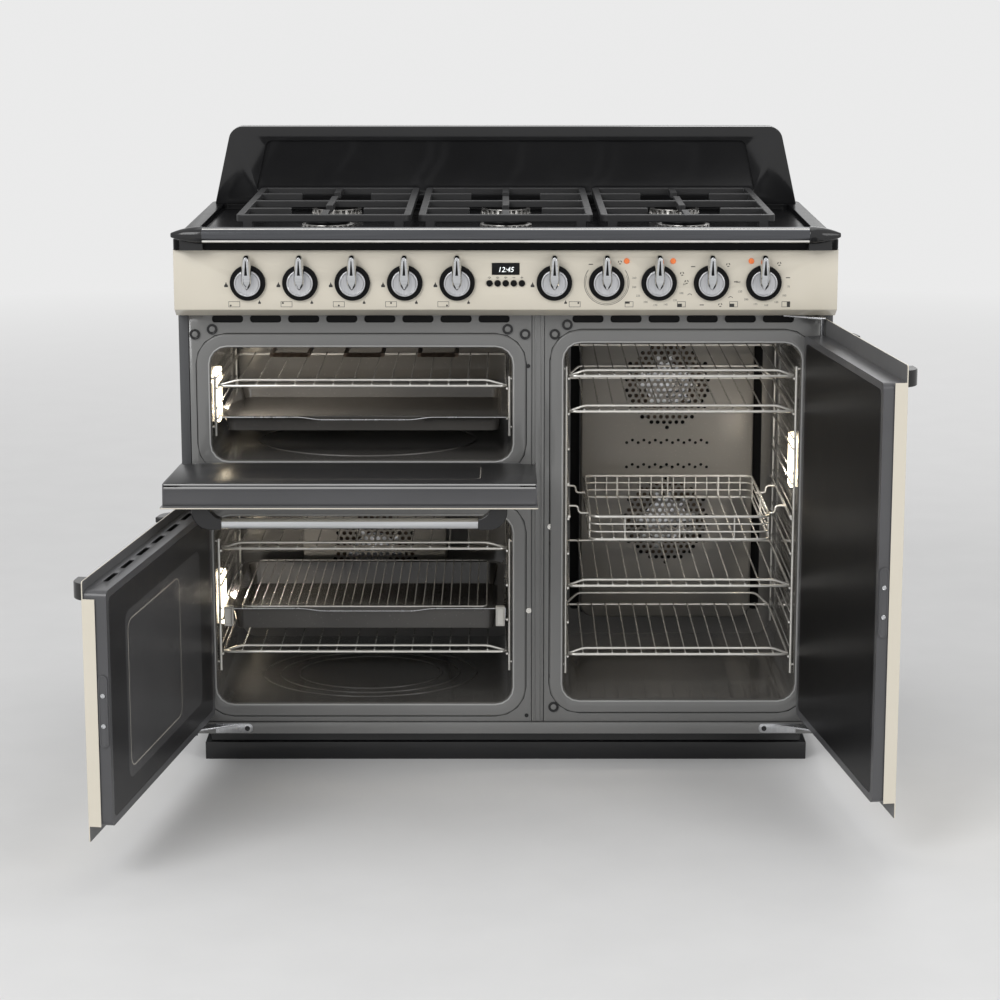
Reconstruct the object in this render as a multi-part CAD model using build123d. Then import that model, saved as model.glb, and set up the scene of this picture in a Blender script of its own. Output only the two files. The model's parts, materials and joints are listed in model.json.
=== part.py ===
from build123d import *
from math import cos, radians, sin
import os

# Range cooker with a gas hob, a grill oven over a main oven, and a tall oven beside them.
# Millimetres. X runs to the viewer's right, Y to the wall, Z up. The origin is on the floor,
# under the middle of the body. The three doors stand open, which is the rest pose of their hinges.

# Casing and stack of ovens
BACK_Y = 300.0
SIDE_MARGIN = 52.5
LEFT_OVEN_W = 508.0
OVEN_SPACING = 88.5
TALL_OVEN_W = 398.5
BODY_Z = 50.0
MAIN_SILL = 60.0
MAIN_H = 330.0
GRILL_SILL = 98.0
GRILL_H = 193.0
TALL_SILL = 66.0
TALL_HEAD = 7.0
TOP_SPACE = 172.0
CAVITY_WALL = 1.5
CAVITY_R = 28.0
CAVITY_FLANGE = 12.0
REAR_SPACE = 124.5
SHEET = 1.5
FOLD = 16.0
FOLD_GAP = 1.0

# Front frame
FRAME_T = 2.0
FRAME_FOOT = 26.0
FRAME_TOP_GAP = 103.0
MOUTH_CLEAR = 2.0
RIM_W = 24.0
RIM_PROUD = 3.0
RIM_SLOPE = 35.0
MULLION_W = 20.0
MULLION_GAP = 1.0
MULLION_RIB = 2.0
VENT_H = 12.0
VENT_LEN = 52.0
VENT_PITCH = 64.0
VENT_RISE = 43.0
RAIL_FOOT = 5.0
RAIL_H = 20.0
RAIL_PROUD = 4.0
RAIL_FOLD = 14.0

# Plinth and feet
PLINTH_H = 31.0
PLINTH_T = 2.0
PLINTH_INSET = 26.0
PLINTH_SETBACK = 24.0
PLINTH_LEDGE = 10.0
PLINTH_DEPTH = 470.0
FOOT_R = 19.0
FOOT_STEM_R = 7.0
FOOT_PAD_H = 12.0
FOOT_INSET_X = 80.0
FOOT_INSET_Y = 70.0

# Back panel openings
LOUVRE_W = 220.0
LOUVRE_H = 8.0
LOUVRE_PITCH = 22.0
LOUVRE_COUNT = 6
LOUVRE_DROP = 60.0
LOUVRE_SPACING = 286.0
GLAND_R = 13.0
GLAND_X = 430.0
GLAND_Z = 140.0

# Hob
WORKTOP_H = 18.0
WORKTOP_OVERHANG = 8.0
WORKTOP_RIM = 26.0
WORKTOP_WELL = 9.0
WORKTOP_R = 14.0
UPSTAND_H = 142.0
UPSTAND_T = 38.0
UPSTAND_INSET = 9.0
UPSTAND_TAPER = 32.0
UPSTAND_R = 26.0
UPSTAND_PANEL_Z = 16.0
UPSTAND_PANEL_H = 100.0
UPSTAND_PANEL_INSET = 84.0
UPSTAND_PANEL_DEEP = 4.0
HOB_RAIL_D = 26.0
HOB_RAIL_END = 52.0
HOB_RAIL_RISE = 9.0
HOB_RAIL_REACH = 17.0
LEAF_SWELL_X = 0.55
LEAF_SWELL_R = 0.8
LEAF_TIP_R = 3.5
BURNER_X = 305.0
BURNER_Y = 125.0
BURNER_MID_Y = -12.0
BURNER_R = 46.0
BURNER_H = 16.0
BURNER_DRAFT = 8.0
BURNER_SIDES = 20
STEM_SIDES = 12
BURNER_HOLE_R = 30.0
CAP_R = 38.0
CAP_H = 7.0
PAN_H = 42.0
PAN_W = 292.0
PAN_DEPTH = 470.0
PAN_BAR = 12.0
PAN_FINGER = 72.0
PAN_FOOT = 16.0

# Control panel
PANEL_H = 113.0
PANEL_BEVEL_H = 13.0
PANEL_BEVEL_D = 24.0
PANEL_REACH = 50.0
KNOB_FIRST = 80.5
KNOB_PITCH = 86.7
KNOB_DROP = 55.0
KNOB_BASE_R = 29.5
KNOB_BASE_T = 5.0
KNOB_DISC_R = 22.0
KNOB_DISC_T = 7.0
KNOB_GRIP_T = 22.0
KNOB_GRIP_UP = 48.0
KNOB_GRIP_DOWN = 9.0
KNOB_GRIP_R = 8.0
KNOB_TIP_R = 5.0
KNOB_GRIP_DRAFT = 2.0
KNOB_GAP = 0.4
SHAFT_R = 4.0
SHAFT_LEN = 30.0
SHAFT_HOLE_R = 7.0
RUN_CLEAR = 0.05
VALVE_W = 30.0
VALVE_D = 38.0
SWITCH_W = 46.0
PIPE_R = 9.0
PIPE_SIDES = 8
INLET_R = 10.48
INLET_LEN = 16.0
INLET_X = 470.0
DISPLAY_W = 46.0
DISPLAY_H = 20.0
DISPLAY_RISE = 23.0
LENS_T = 4.0
LENS_GAP = 0.2
CLOCK_D = 30.0
BUTTON_R = 5.2
BUTTON_PITCH = 13.4
BUTTON_RISE = -1.0
BUTTON_LEN = 9.0
BUTTON_PROUD = 3.0
BUTTON_CLEAR = 0.1
BUTTON_COLLAR = 0.8
BUTTON_SIDES = 16
PILOT_R = 4.5
PILOT_RISE = 36.0
PILOT_SHIFTS = {6: 33.0, 7: 23.0, 9: -21.0}
PILOT_PROUD = 1.5

# Doors
DOOR_T = 37.0
DOOR_CLEAR = 2.0
DOOR_GAP = 6.0
DOOR_SIDE_GAP = 1.0
DOOR_TOP_GAP = 6.0
DOOR_FOOT = 23.0
LEFT_SPLIT_Z = 481.0
SKIN_T = 2.0
SKIN_R = 4.0
SKIN_RETURN = 20.0
LIP_TOP = 27.0
LIP_FOOT = 25.0
LIP_FREE = 3.0
MAIN_LIP_TOP = 15.0
GRILL_LIP_FOOT = 18.0
GRILL_LIP_SIDE = 25.0
LINER_R = 10.0
PANE_T = 4.0
PANE_EDGE = 12.0
PANE_GAP = 0.3
WINDOW_SIDE = 92.0
WINDOW_RISE = 70.0
WINDOW_DROP = 70.0
WINDOW_R = 22.0
PIVOT_IN = 21.0
PIVOT_DEEP = 9.0
GRILL_PIVOT_UP = 26.0
GRILL_PIVOT_DEEP = 8.0
PIN_R = 3.5
GRILL_PIN_R = 2.5
PIN_IN = 18.0
BOSS_WALL = 3.0
TALL_OPEN = 98.0
MAIN_OPEN = 99.0
GRILL_OPEN = 86.0
HINGE_T = 3.0
HINGE_W = 62.0
HINGE_EYE_R = 6.0
HINGE_GAP = 0.5
HANDLE_D = 17.0
HANDLE_REACH = 36.0
HANDLE_DROP = 30.0
HANDLE_ARM = 46.0
HANDLE_SIDE = 50.0
HANDLE_ARM_H = 26.0
ARM_TURN = 28.0
ARM_BOW_X = 8.0
ARM_BOW_Y = 8.0
ARM_FOOT = 25.0
ARM_HOLLOW_X = 33.0
ARM_HOLLOW_Y = 12.5

# Shelves
POST_D = 5.0
POST_OFF = 4.0
RUNG_D = 4.0
WELD = 0.3
RAIL_CLEAR = 0.5
LADDER_FRONT = 22.0
LADDER_PAST = 5.0
LEVEL_PITCH = 61.0
LEVEL_FOOT = 71.0
TALL_LEVELS = 9
MAIN_LEVELS = 4
MAIN_FOOT = 82.0
GRILL_LEVELS = 2
GRILL_FOOT = 68.0
GRILL_PITCH = 52.0
RACK_D = 5.0
WIRE_D = 3.0
RACK_GAP = 0.3
RACK_FRONT = 12.0
RACK_DEPTH = 345.0
RACK_BACK = 39.0
RACK_WIRES = 14
RACK_LIFT = 9.0
RACK_STOP = 22.0
BASKET_H = 40.0
BASKET_INSET = 36.0
TRAY_T = 1.5
TRAY_RIM = 10.0
TRAY_SLOPE = 12.0
TRAY_R = 22.0
MAIN_TRAY_H = 40.0
GRILL_TRAY_H = 26.0
RUNNER_H = 16.0
RUNNER_T = 9.0
RUNNER_CAP = 12.0
GRID_WIRES = 22

# Fans, elements and lamps
COVER_STAND = 34.0
COVER_SIDE = 40.0
MAIN_COVER_SIDE = 120.0
COVER_T = 1.5
FAN_R = 74.0
FAN_D = 18.0
FAN_BLADES = 9
FAN_HUB_R = 14.0
FAN_BLADE_R = 22.0
FAN_GAP = 6.0
FAN_SHAFT_R = 4.0
VENT_HOLE_R = 7.5
VENT_RING = 26.0
VENT_RINGS = 3
HOLE_SIDES = 6
WHEEL_SIDES = 18
RING_SIDES = 24
MAIN_FAN_RISE = 3.0
TALL_FAN_LOW = 226.0
TALL_FAN_DROP = 140.0
MOTOR_R = 34.0
MOTOR_D = 60.0
RING_R = 90.0
RING_W = 7.0
ELEMENT_D = 7.0
ELEMENT_DROP = 26.0
ELEMENT_LOOPS = 3
LAMP_W = 46.0
LAMP_H = 92.0
LAMP_T = 5.0
LAMP_R = 8.0
LAMP_BACK = 96.0

# Places worked out from the driving dimensions
WIDTH = 2 * SIDE_MARGIN + LEFT_OVEN_W + OVEN_SPACING + TALL_OVEN_W
HALF = WIDTH / 2
HOB_RAIL_HALF = HALF - HOB_RAIL_END
CAVITY_DEPTH = RACK_FRONT + RACK_DEPTH + RACK_BACK + COVER_STAND
LADDER_DEPTH = RACK_DEPTH + LADDER_PAST
FRAME_Y = BACK_Y - SHEET - REAR_SPACE - CAVITY_DEPTH - FRAME_T
LEFT_X0 = -HALF + SIDE_MARGIN
LEFT_X1 = LEFT_X0 + LEFT_OVEN_W
TALL_X0 = LEFT_X1 + OVEN_SPACING
TALL_X1 = TALL_X0 + TALL_OVEN_W
MAIN_Z0 = BODY_Z + MAIN_SILL
MAIN_Z1 = MAIN_Z0 + MAIN_H
GRILL_Z0 = MAIN_Z1 + GRILL_SILL
GRILL_Z1 = GRILL_Z0 + GRILL_H
TALL_Z0 = BODY_Z + TALL_SILL
TALL_Z1 = GRILL_Z1 + TALL_HEAD
TOP_Z = GRILL_Z1 + TOP_SPACE
MULLION_X = (LEFT_X1 + TALL_X0) / 2
FRAME_HALF = HALF - FOLD - FOLD_GAP
FRAME_Z0 = BODY_Z + FRAME_FOOT
FRAME_Z1 = TOP_Z - FRAME_TOP_GAP
RAIL_Z0 = BODY_Z + RAIL_FOOT
CAVITY_Y0 = FRAME_Y + FRAME_T
CAVITY_Y1 = CAVITY_Y0 + CAVITY_DEPTH
PANEL_Z0 = TOP_Z - PANEL_H
PANEL_Y = FRAME_Y - PANEL_REACH
KNOB_Z = TOP_Z - KNOB_DROP
KNOB_XS = [side * (KNOB_FIRST + KNOB_PITCH * k) for side in (-1, 1) for k in range(5)]
KNOB_XS.sort()
BUTTON_XS = [BUTTON_PITCH * (n - 2) for n in range(5)]
PILOT_XS = [KNOB_XS[n] + shift for n, shift in PILOT_SHIFTS.items()]
BURNER_XS = (-BURNER_X, 0, BURNER_X)
BURNER_SPOTS = [(x, BURNER_MID_Y + side * BURNER_Y) for x in BURNER_XS for side in (-1, 1)]
DOOR_IN_Y = FRAME_Y - RIM_PROUD - DOOR_CLEAR
DOOR_OUT_Y = DOOR_IN_Y - DOOR_T
LINER_Y0 = DOOR_OUT_Y + SKIN_T
DOOR_Z0 = BODY_Z + DOOR_FOOT
DOOR_Z1 = PANEL_Z0 - DOOR_TOP_GAP
LEFT_DOOR_X0 = -HALF + DOOR_SIDE_GAP
LEFT_DOOR_X1 = MULLION_X - DOOR_GAP / 2
TALL_DOOR_X0 = MULLION_X + DOOR_GAP / 2
TALL_DOOR_X1 = HALF - DOOR_SIDE_GAP
MAIN_DOOR_Z1 = LEFT_SPLIT_Z - DOOR_GAP / 2
GRILL_DOOR_Z0 = LEFT_SPLIT_Z + DOOR_GAP / 2
TALL_PIVOT = (TALL_DOOR_X1 - PIVOT_IN, DOOR_OUT_Y + PIVOT_DEEP)
MAIN_PIVOT = (LEFT_DOOR_X0 + PIVOT_IN, DOOR_OUT_Y + PIVOT_DEEP)
GRILL_PIVOT = (DOOR_OUT_Y + GRILL_PIVOT_DEEP, GRILL_DOOR_Z0 + GRILL_PIVOT_UP)
TALL_LEVEL_ZS = [TALL_Z0 + LEVEL_FOOT + LEVEL_PITCH * n for n in range(TALL_LEVELS)]
MAIN_LEVEL_ZS = [MAIN_Z0 + MAIN_FOOT + LEVEL_PITCH * n for n in range(MAIN_LEVELS)]
GRILL_LEVEL_ZS = [GRILL_Z0 + GRILL_FOOT + GRILL_PITCH * n for n in range(GRILL_LEVELS)]
RUNG_OFF = POST_OFF + POST_D / 2 + RUNG_D / 2 - WELD
SLIDE_OFF = POST_OFF + POST_D / 2 + RAIL_CLEAR + RACK_D / 2
RUNNER_Z = MAIN_LEVEL_ZS[1] + RUNNER_H / 2 + RUNG_D
COVER_Y = CAVITY_Y1 - COVER_STAND
LEFT_MID_X = (LEFT_X0 + LEFT_X1) / 2
TALL_MID_X = (TALL_X0 + TALL_X1) / 2
FANS = {
    "main_fan": (LEFT_MID_X, (MAIN_Z0 + MAIN_Z1) / 2 + MAIN_FAN_RISE),
    "tall_fan_lower": (TALL_MID_X, TALL_Z0 + TALL_FAN_LOW),
    "tall_fan_upper": (TALL_MID_X, TALL_Z1 - TALL_FAN_DROP),
}


# Shared shapes

def block(x0, x1, y0, y1, z0, z1):
    """Box between two corners."""
    return Pos((x0 + x1) / 2, (y0 + y1) / 2, (z0 + z1) / 2) * Box(x1 - x0, y1 - y0, z1 - z0)


def front_plate(x0, x1, z0, z1, y0, y1, radius, taper=0.0):
    """Plate that faces the front, with rounded corners; it is drawn at y1 and grows to y0."""
    outline = RectangleRounded(x1 - x0, z1 - z0, radius)
    face = Plane.XZ.offset(-y1) * Pos((x0 + x1) / 2, (z0 + z1) / 2) * outline
    return extrude(face, y1 - y0, taper=taper)


def floor_plate(x0, x1, y0, y1, z0, z1, radius, taper=0.0):
    """Lying plate with rounded corners, drawn at z0 and grown to z1."""
    outline = RectangleRounded(x1 - x0, y1 - y0, radius)
    return extrude(Pos((x0 + x1) / 2, (y0 + y1) / 2, z0) * outline, z1 - z0, taper=taper)


def bar(start, end, width, sides):
    """Wire of a few flats between two points on one row axis, with a flat on top."""
    run = Vector(*end) - Vector(*start)
    across = (-1, 0, 0) if abs(run.Y) > 0 else (0, 1, 0)
    section = RegularPolygon(width / 2, sides, major_radius=False, rotation=180 / sides if sides == 4 else 0)
    return extrude(Plane(origin=start, x_dir=across, z_dir=tuple(run.normalized())) * section, run.length)


def rod(x, z, y0, y1, radius):
    """Round rod along Y."""
    return extrude(Plane.XZ.offset(-y1) * Pos(x, z) * Circle(radius), y1 - y0)


def prism(x, z, y0, y1, radius, sides):
    """Rod along Y with flat sides, for round pieces that repeat or stay hidden."""
    return extrude(Plane.XZ.offset(-y1) * Pos(x, z) * RegularPolygon(radius, sides), y1 - y0)


# Casing

def side_panel(side):
    """Sheet side with a fold at the front and one at the back, and a dark gap beside the front frame."""
    outer = block(HALF - FOLD, HALF, FRAME_Y, BACK_Y, BODY_Z, TOP_Z)
    inner = block(HALF - FOLD, HALF - SHEET, FRAME_Y + SHEET, BACK_Y - SHEET, BODY_Z, TOP_Z)
    panel = outer - inner
    return panel if side > 0 else mirror(panel, about=Plane.YZ)


def back_panel():
    """Sheet between the side folds, with louvres, the gas inlet's hole and the supply gland's hole."""
    half = HALF - FOLD - FOLD_GAP
    sheet = block(-half, half, BACK_Y - SHEET, BACK_Y, BODY_Z + SHEET, TOP_Z)
    cuts = []
    for column in (-1, 0, 1):
        for row in range(LOUVRE_COUNT):
            z = TOP_Z - LOUVRE_DROP - LOUVRE_PITCH * row
            x = column * LOUVRE_SPACING
            cuts.append(block(x - LOUVRE_W / 2, x + LOUVRE_W / 2, BACK_Y - 2 * SHEET, BACK_Y + SHEET,
                              z - LOUVRE_H / 2, z + LOUVRE_H / 2))
    cuts.append(rod(INLET_X, KNOB_Z, BACK_Y - 2 * SHEET, BACK_Y + SHEET, INLET_R + PIPE_R))
    cuts.append(rod(GLAND_X, GLAND_Z, BACK_Y - 2 * SHEET, BACK_Y + SHEET, GLAND_R))
    return sheet - cuts


def base_tray():
    """Floor sheet with turned-up edges."""
    half = HALF - FOLD - FOLD_GAP
    y0 = FRAME_Y + RAIL_FOLD
    y1 = BACK_Y - SHEET
    outer = block(-half, half, y0, y1, BODY_Z, BODY_Z + FOLD)
    inner = block(-half + SHEET, half - SHEET, y0 + SHEET, y1 - SHEET, BODY_Z + SHEET, BODY_Z + FOLD)
    return outer - inner


def plinth_ring(inset, z0, z1):
    """Front board with two returns, open at the back."""
    half = HALF - inset
    front = FRAME_Y + PLINTH_SETBACK + inset - PLINTH_INSET
    back = FRAME_Y + PLINTH_SETBACK + PLINTH_DEPTH
    outer = block(-half, half, front, back, z0, z1)
    return outer - block(-half + PLINTH_T, half - PLINTH_T, front + PLINTH_T, back, z0, z1)


def plinth():
    """Kick board with a ledge and a set-back strip that reaches up to the base."""
    lower = plinth_ring(PLINTH_INSET, 0, PLINTH_H)
    upper = plinth_ring(PLINTH_INSET + PLINTH_LEDGE, PLINTH_H - PLINTH_T, BODY_Z)
    half = HALF - PLINTH_INSET
    front = FRAME_Y + PLINTH_SETBACK
    back = front + PLINTH_DEPTH
    ledge = block(-half, half, front, back, PLINTH_H - PLINTH_T, PLINTH_H)
    reach = PLINTH_LEDGE + PLINTH_T
    ledge -= block(-half + reach, half - reach, front + reach, back, PLINTH_H - PLINTH_T, PLINTH_H)
    return lower + upper + ledge


def feet():
    """Four levelling feet: a pad on a stem."""
    made = []
    for x in (-HALF + FOOT_INSET_X, HALF - FOOT_INSET_X):
        for y in (FRAME_Y + FOOT_INSET_Y + PLINTH_SETBACK, BACK_Y - FOOT_INSET_Y):
            pad = Pos(x, y, 0) * extrude(RegularPolygon(FOOT_R, STEM_SIDES), FOOT_PAD_H)
            stem = Pos(x, y, FOOT_PAD_H) * extrude(RegularPolygon(FOOT_STEM_R, HOLE_SIDES),
                                                   BODY_Z - FOOT_PAD_H)
            made.append(pad + stem)
    return made


# Front frame

def rim(x0, x1, z0, z1):
    """Raised sealing rim round one oven mouth, sloped on its outside."""
    radius = CAVITY_R + RIM_W
    return front_plate(x0 - RIM_W, x1 + RIM_W, z0 - RIM_W, z1 + RIM_W, FRAME_Y - RIM_PROUD, FRAME_Y,
                       radius, RIM_SLOPE)


def mouth(x0, x1, z0, z1):
    """Cutter for one oven mouth, a little wider than its cavity."""
    c = MOUTH_CLEAR
    return front_plate(x0 - c, x1 + c, z0 - c, z1 + c, FRAME_Y - 2 * RIM_PROUD, FRAME_Y + 2 * FRAME_T,
                       CAVITY_R + c)


def vents(x0, x1):
    """Cutters for the row of cooling slots under the control panel."""
    count = int((x1 - x0 - VENT_LEN) // VENT_PITCH) + 1
    first = (x0 + x1) / 2 - VENT_PITCH * (count - 1) / 2
    z = GRILL_Z1 + VENT_RISE
    return [front_plate(first + VENT_PITCH * n - VENT_LEN / 2, first + VENT_PITCH * n + VENT_LEN / 2, z,
                        z + VENT_H, FRAME_Y - FRAME_T, FRAME_Y + 2 * FRAME_T, VENT_H / 2 - FOLD_GAP)
            for n in range(count)]


def front_frame():
    """Left and right sheets with rimmed mouths, the ribbed mullion between them and the bottom rail."""
    gap = MULLION_W / 2 + MULLION_GAP
    left = block(-FRAME_HALF, MULLION_X - gap, FRAME_Y, CAVITY_Y0, FRAME_Z0, FRAME_Z1)
    left = left + [rim(LEFT_X0, LEFT_X1, MAIN_Z0, MAIN_Z1), rim(LEFT_X0, LEFT_X1, GRILL_Z0, GRILL_Z1)]
    left -= [mouth(LEFT_X0, LEFT_X1, MAIN_Z0, MAIN_Z1), mouth(LEFT_X0, LEFT_X1, GRILL_Z0, GRILL_Z1)]
    left -= vents(LEFT_X0, LEFT_X1)
    right = block(MULLION_X + gap, FRAME_HALF, FRAME_Y, CAVITY_Y0, FRAME_Z0, FRAME_Z1)
    right = right + rim(TALL_X0, TALL_X1, TALL_Z0, TALL_Z1)
    right -= mouth(TALL_X0, TALL_X1, TALL_Z0, TALL_Z1)
    right -= vents(TALL_X0, TALL_X1)
    half = MULLION_W / 2
    strip = block(MULLION_X - half, MULLION_X + half, FRAME_Y, CAVITY_Y0, FRAME_Z0, FRAME_Z1)
    for x in (MULLION_X - half / 2, MULLION_X + half / 2):
        strip += block(x - MULLION_RIB / 2, x + MULLION_RIB / 2, FRAME_Y - MULLION_RIB / 2, FRAME_Y,
                       FRAME_Z0, PANEL_Z0 - MULLION_GAP)
    return [left, right, strip, bottom_rail()]


def bottom_rail():
    """Folded rail under the ovens that carries the lower hinges."""
    y0 = FRAME_Y - RAIL_PROUD
    top = RAIL_Z0 + RAIL_H
    face = block(-FRAME_HALF, FRAME_HALF, y0, y0 + FRAME_T, RAIL_Z0, top)
    roof = block(-FRAME_HALF, FRAME_HALF, y0, y0 + RAIL_FOLD, top - FRAME_T, top)
    floor = block(-FRAME_HALF, FRAME_HALF, y0, y0 + RAIL_FOLD, RAIL_Z0, RAIL_Z0 + FRAME_T)
    return face + roof + floor


# Oven cavities

def cavity(x0, x1, z0, z1):
    """Enamelled box, open at the front, with a flange behind the frame."""
    w = CAVITY_WALL
    shell = front_plate(x0 - w, x1 + w, z0 - w, z1 + w, CAVITY_Y0, CAVITY_Y1 + w, CAVITY_R + w)
    flange = front_plate(x0 - CAVITY_FLANGE, x1 + CAVITY_FLANGE, z0 - CAVITY_FLANGE, z1 + CAVITY_FLANGE,
                         CAVITY_Y0, CAVITY_Y0 + w, CAVITY_R + CAVITY_FLANGE)
    return shell + flange - front_plate(x0, x1, z0, z1, CAVITY_Y0, CAVITY_Y1, CAVITY_R)


def fan_bore(name):
    """Cutter for one fan's shaft through the back of its cavity."""
    x, z = FANS[name]
    return rod(x, z, CAVITY_Y1 - CAVITY_WALL, CAVITY_Y1 + 3 * CAVITY_WALL, FAN_SHAFT_R + CAVITY_WALL)


def ladder(wall_x, inward, level_zs):
    """Wire side support: a front and a back post by the wall, with one rung welded on for each level."""
    x = wall_x + inward * POST_OFF
    rung_x = wall_x + inward * RUNG_OFF
    y0 = CAVITY_Y0 + LADDER_FRONT
    y1 = y0 + LADDER_DEPTH
    z0 = level_zs[0] - LEVEL_PITCH / 2
    z1 = level_zs[-1] + LEVEL_PITCH / 3
    posts = [bar((x, y, z0), (x, y, z1), POST_D, 6) for y in (y0, y1)]
    rungs = [bar((rung_x, y0 - POST_D, z), (rung_x, y1 + POST_D, z), RUNG_D, 4) for z in level_zs]
    studs = [bar((wall_x, y, z), (x, y, z), RUNG_D, 4) for y in (y0, y1)
             for z in (z0 + LEVEL_PITCH / 4, z1 - RUNG_D)]
    return posts[0] + posts[1:] + rungs + studs


def fixed_runner(side):
    """Outer channel of one telescopic runner, clipped against a rung of its ladder."""
    x, inward = (LEFT_X0, 1) if side < 0 else (LEFT_X1, -1)
    near = x + inward * (RUNG_OFF + RUNG_D / 2)
    far = near + inward * RUNNER_T / 3
    y0 = CAVITY_Y0 + LADDER_FRONT
    z0 = MAIN_LEVEL_ZS[1] - RUNG_D / 2
    return block(min(near, far), max(near, far), y0, y0 + LADDER_DEPTH, z0, RUNNER_Z + RUNNER_H / 2)


def shelf_ladders():
    made = []
    for x0, x1, zs in ((LEFT_X0, LEFT_X1, GRILL_LEVEL_ZS), (LEFT_X0, LEFT_X1, MAIN_LEVEL_ZS),
                       (TALL_X0, TALL_X1, TALL_LEVEL_ZS)):
        made += [ladder(x0, 1, zs), ladder(x1, -1, zs)]
    return made + [fixed_runner(-1), fixed_runner(1)]


def perforation(name):
    """Cutters for the ring pattern of air holes in front of one fan."""
    x, z = FANS[name]
    spots = [(x, z)]
    for ring in range(1, VENT_RINGS):
        for n in range(6 * ring):
            turn = radians(60 / ring * n)
            spots.append((x + VENT_RING * ring * cos(turn), z + VENT_RING * ring * sin(turn)))
    return [prism(hole_x, hole_z, COVER_Y - COVER_T, COVER_Y + 2 * COVER_T, VENT_HOLE_R, HOLE_SIDES)
            for hole_x, hole_z in spots]


def fan_cover(x0, x1, z0, z1, names):
    """Pan that stands off the back wall, pierced in front of each fan."""
    outer = front_plate(x0, x1, z0, z1, COVER_Y, CAVITY_Y1, CAVITY_R)
    inner = front_plate(x0 + COVER_T, x1 - COVER_T, z0 + COVER_T, z1 - COVER_T, COVER_Y + COVER_T, CAVITY_Y1,
                        CAVITY_R - COVER_T)
    pan = outer - inner
    for name in names:
        pan -= perforation(name)
    return pan


def motor(name):
    """Fan motor on the back of the cavity, bored for the fan's shaft."""
    x, z = FANS[name]
    y0 = CAVITY_Y1 + CAVITY_WALL
    body = prism(x, z, y0, y0 + MOTOR_D, MOTOR_R, STEM_SIDES)
    return body - rod(x, z, y0 - SHEET, y0 + MOTOR_D / 2, FAN_SHAFT_R + RUN_CLEAR)


def fan_housings():
    main = fan_cover(LEFT_X0 + MAIN_COVER_SIDE, LEFT_X1 - MAIN_COVER_SIDE, MAIN_Z0 + COVER_SIDE,
                     MAIN_Z1 - COVER_SIDE, ["main_fan"])
    tall = fan_cover(TALL_X0 + COVER_SIDE, TALL_X1 - COVER_SIDE, TALL_Z0 + COVER_SIDE, TALL_Z1 - COVER_SIDE,
                     ["tall_fan_lower", "tall_fan_upper"])
    return [main, tall] + [motor(name) for name in FANS]


def fan(name):
    """Radial fan wheel on its shaft."""
    x, z = FANS[name]
    y0 = COVER_Y + COVER_T + FAN_GAP
    y1 = y0 + FAN_D
    wheel = prism(x, z, y1 - COVER_T, y1, FAN_R, WHEEL_SIDES)
    hub = prism(x, z, y0, y1, FAN_HUB_R, STEM_SIDES)
    blade = block(FAN_BLADE_R, FAN_R - COVER_T, y0, y1, -COVER_T / 2, COVER_T / 2)
    blades = [Pos(x, 0, z) * Rot(0, 360 / FAN_BLADES * n, 0) * blade for n in range(FAN_BLADES)]
    shaft = rod(x, z, y0, CAVITY_Y1 + CAVITY_WALL + MOTOR_D / 2 - SHEET, FAN_SHAFT_R)
    return wheel + hub + blades + shaft


def ring_element(name):
    """Round heating element on the back wall, round one fan."""
    x, z = FANS[name]
    y0 = CAVITY_Y1 - FAN_D
    outline = RegularPolygon(RING_R + RING_W, RING_SIDES) - RegularPolygon(RING_R, RING_SIDES)
    ring = extrude(Plane.XZ.offset(-y0 - RING_W) * Pos(x, z) * outline, RING_W)
    mid = RING_R + RING_W / 2
    legs = [block(x + mid * side - RING_W / 2, x + mid * side + RING_W / 2, y0 + RING_W / 2, CAVITY_Y1,
                  z - RING_W / 2, z + RING_W / 2) for side in (-1, 1)]
    return ring + legs


def grill_element():
    """Serpentine grill element under the roof of the grill cavity, fixed to its back wall."""
    z = GRILL_Z1 - ELEMENT_DROP
    y0 = CAVITY_Y0 + 2 * COVER_SIDE
    pitch = LEFT_OVEN_W / (2 * ELEMENT_LOOPS + 2)
    xs = [LEFT_MID_X + pitch * (n - ELEMENT_LOOPS + 0.5) for n in range(2 * ELEMENT_LOOPS)]
    d = ELEMENT_D
    runs = []
    for n, x in enumerate(xs):
        last = CAVITY_Y1 if n in (0, len(xs) - 1) else CAVITY_Y1 - 2 * COVER_SIDE
        runs.append(bar((x, y0, z), (x, last, z), d, 6))
    for n in range(len(xs) - 1):
        y = y0 + d / 2 if n % 2 == 0 else CAVITY_Y1 - 2 * COVER_SIDE - d / 2
        runs.append(bar((xs[n], y, z), (xs[n + 1], y, z), d, 6))
    return runs[0] + runs[1:]


def heating_elements():
    return [grill_element()] + [ring_element(name) for name in FANS]


def lamp(wall_x, inward, z):
    """Lens on a side wall, between the ladder's posts."""
    y = CAVITY_Y0 + LAMP_BACK
    outline = Plane.YZ.offset(wall_x) * Pos(y, z) * RectangleRounded(LAMP_W, LAMP_H, LAMP_R)
    return extrude(outline, inward * LAMP_T)


def oven_lamps():
    return [lamp(LEFT_X0, 1, (GRILL_Z0 + GRILL_Z1) / 2), lamp(LEFT_X0, 1, (MAIN_Z0 + MAIN_Z1) / 2),
            lamp(TALL_X1, -1, (TALL_Z0 + TALL_Z1) / 2 + LAMP_H)]


# Hob

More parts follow.
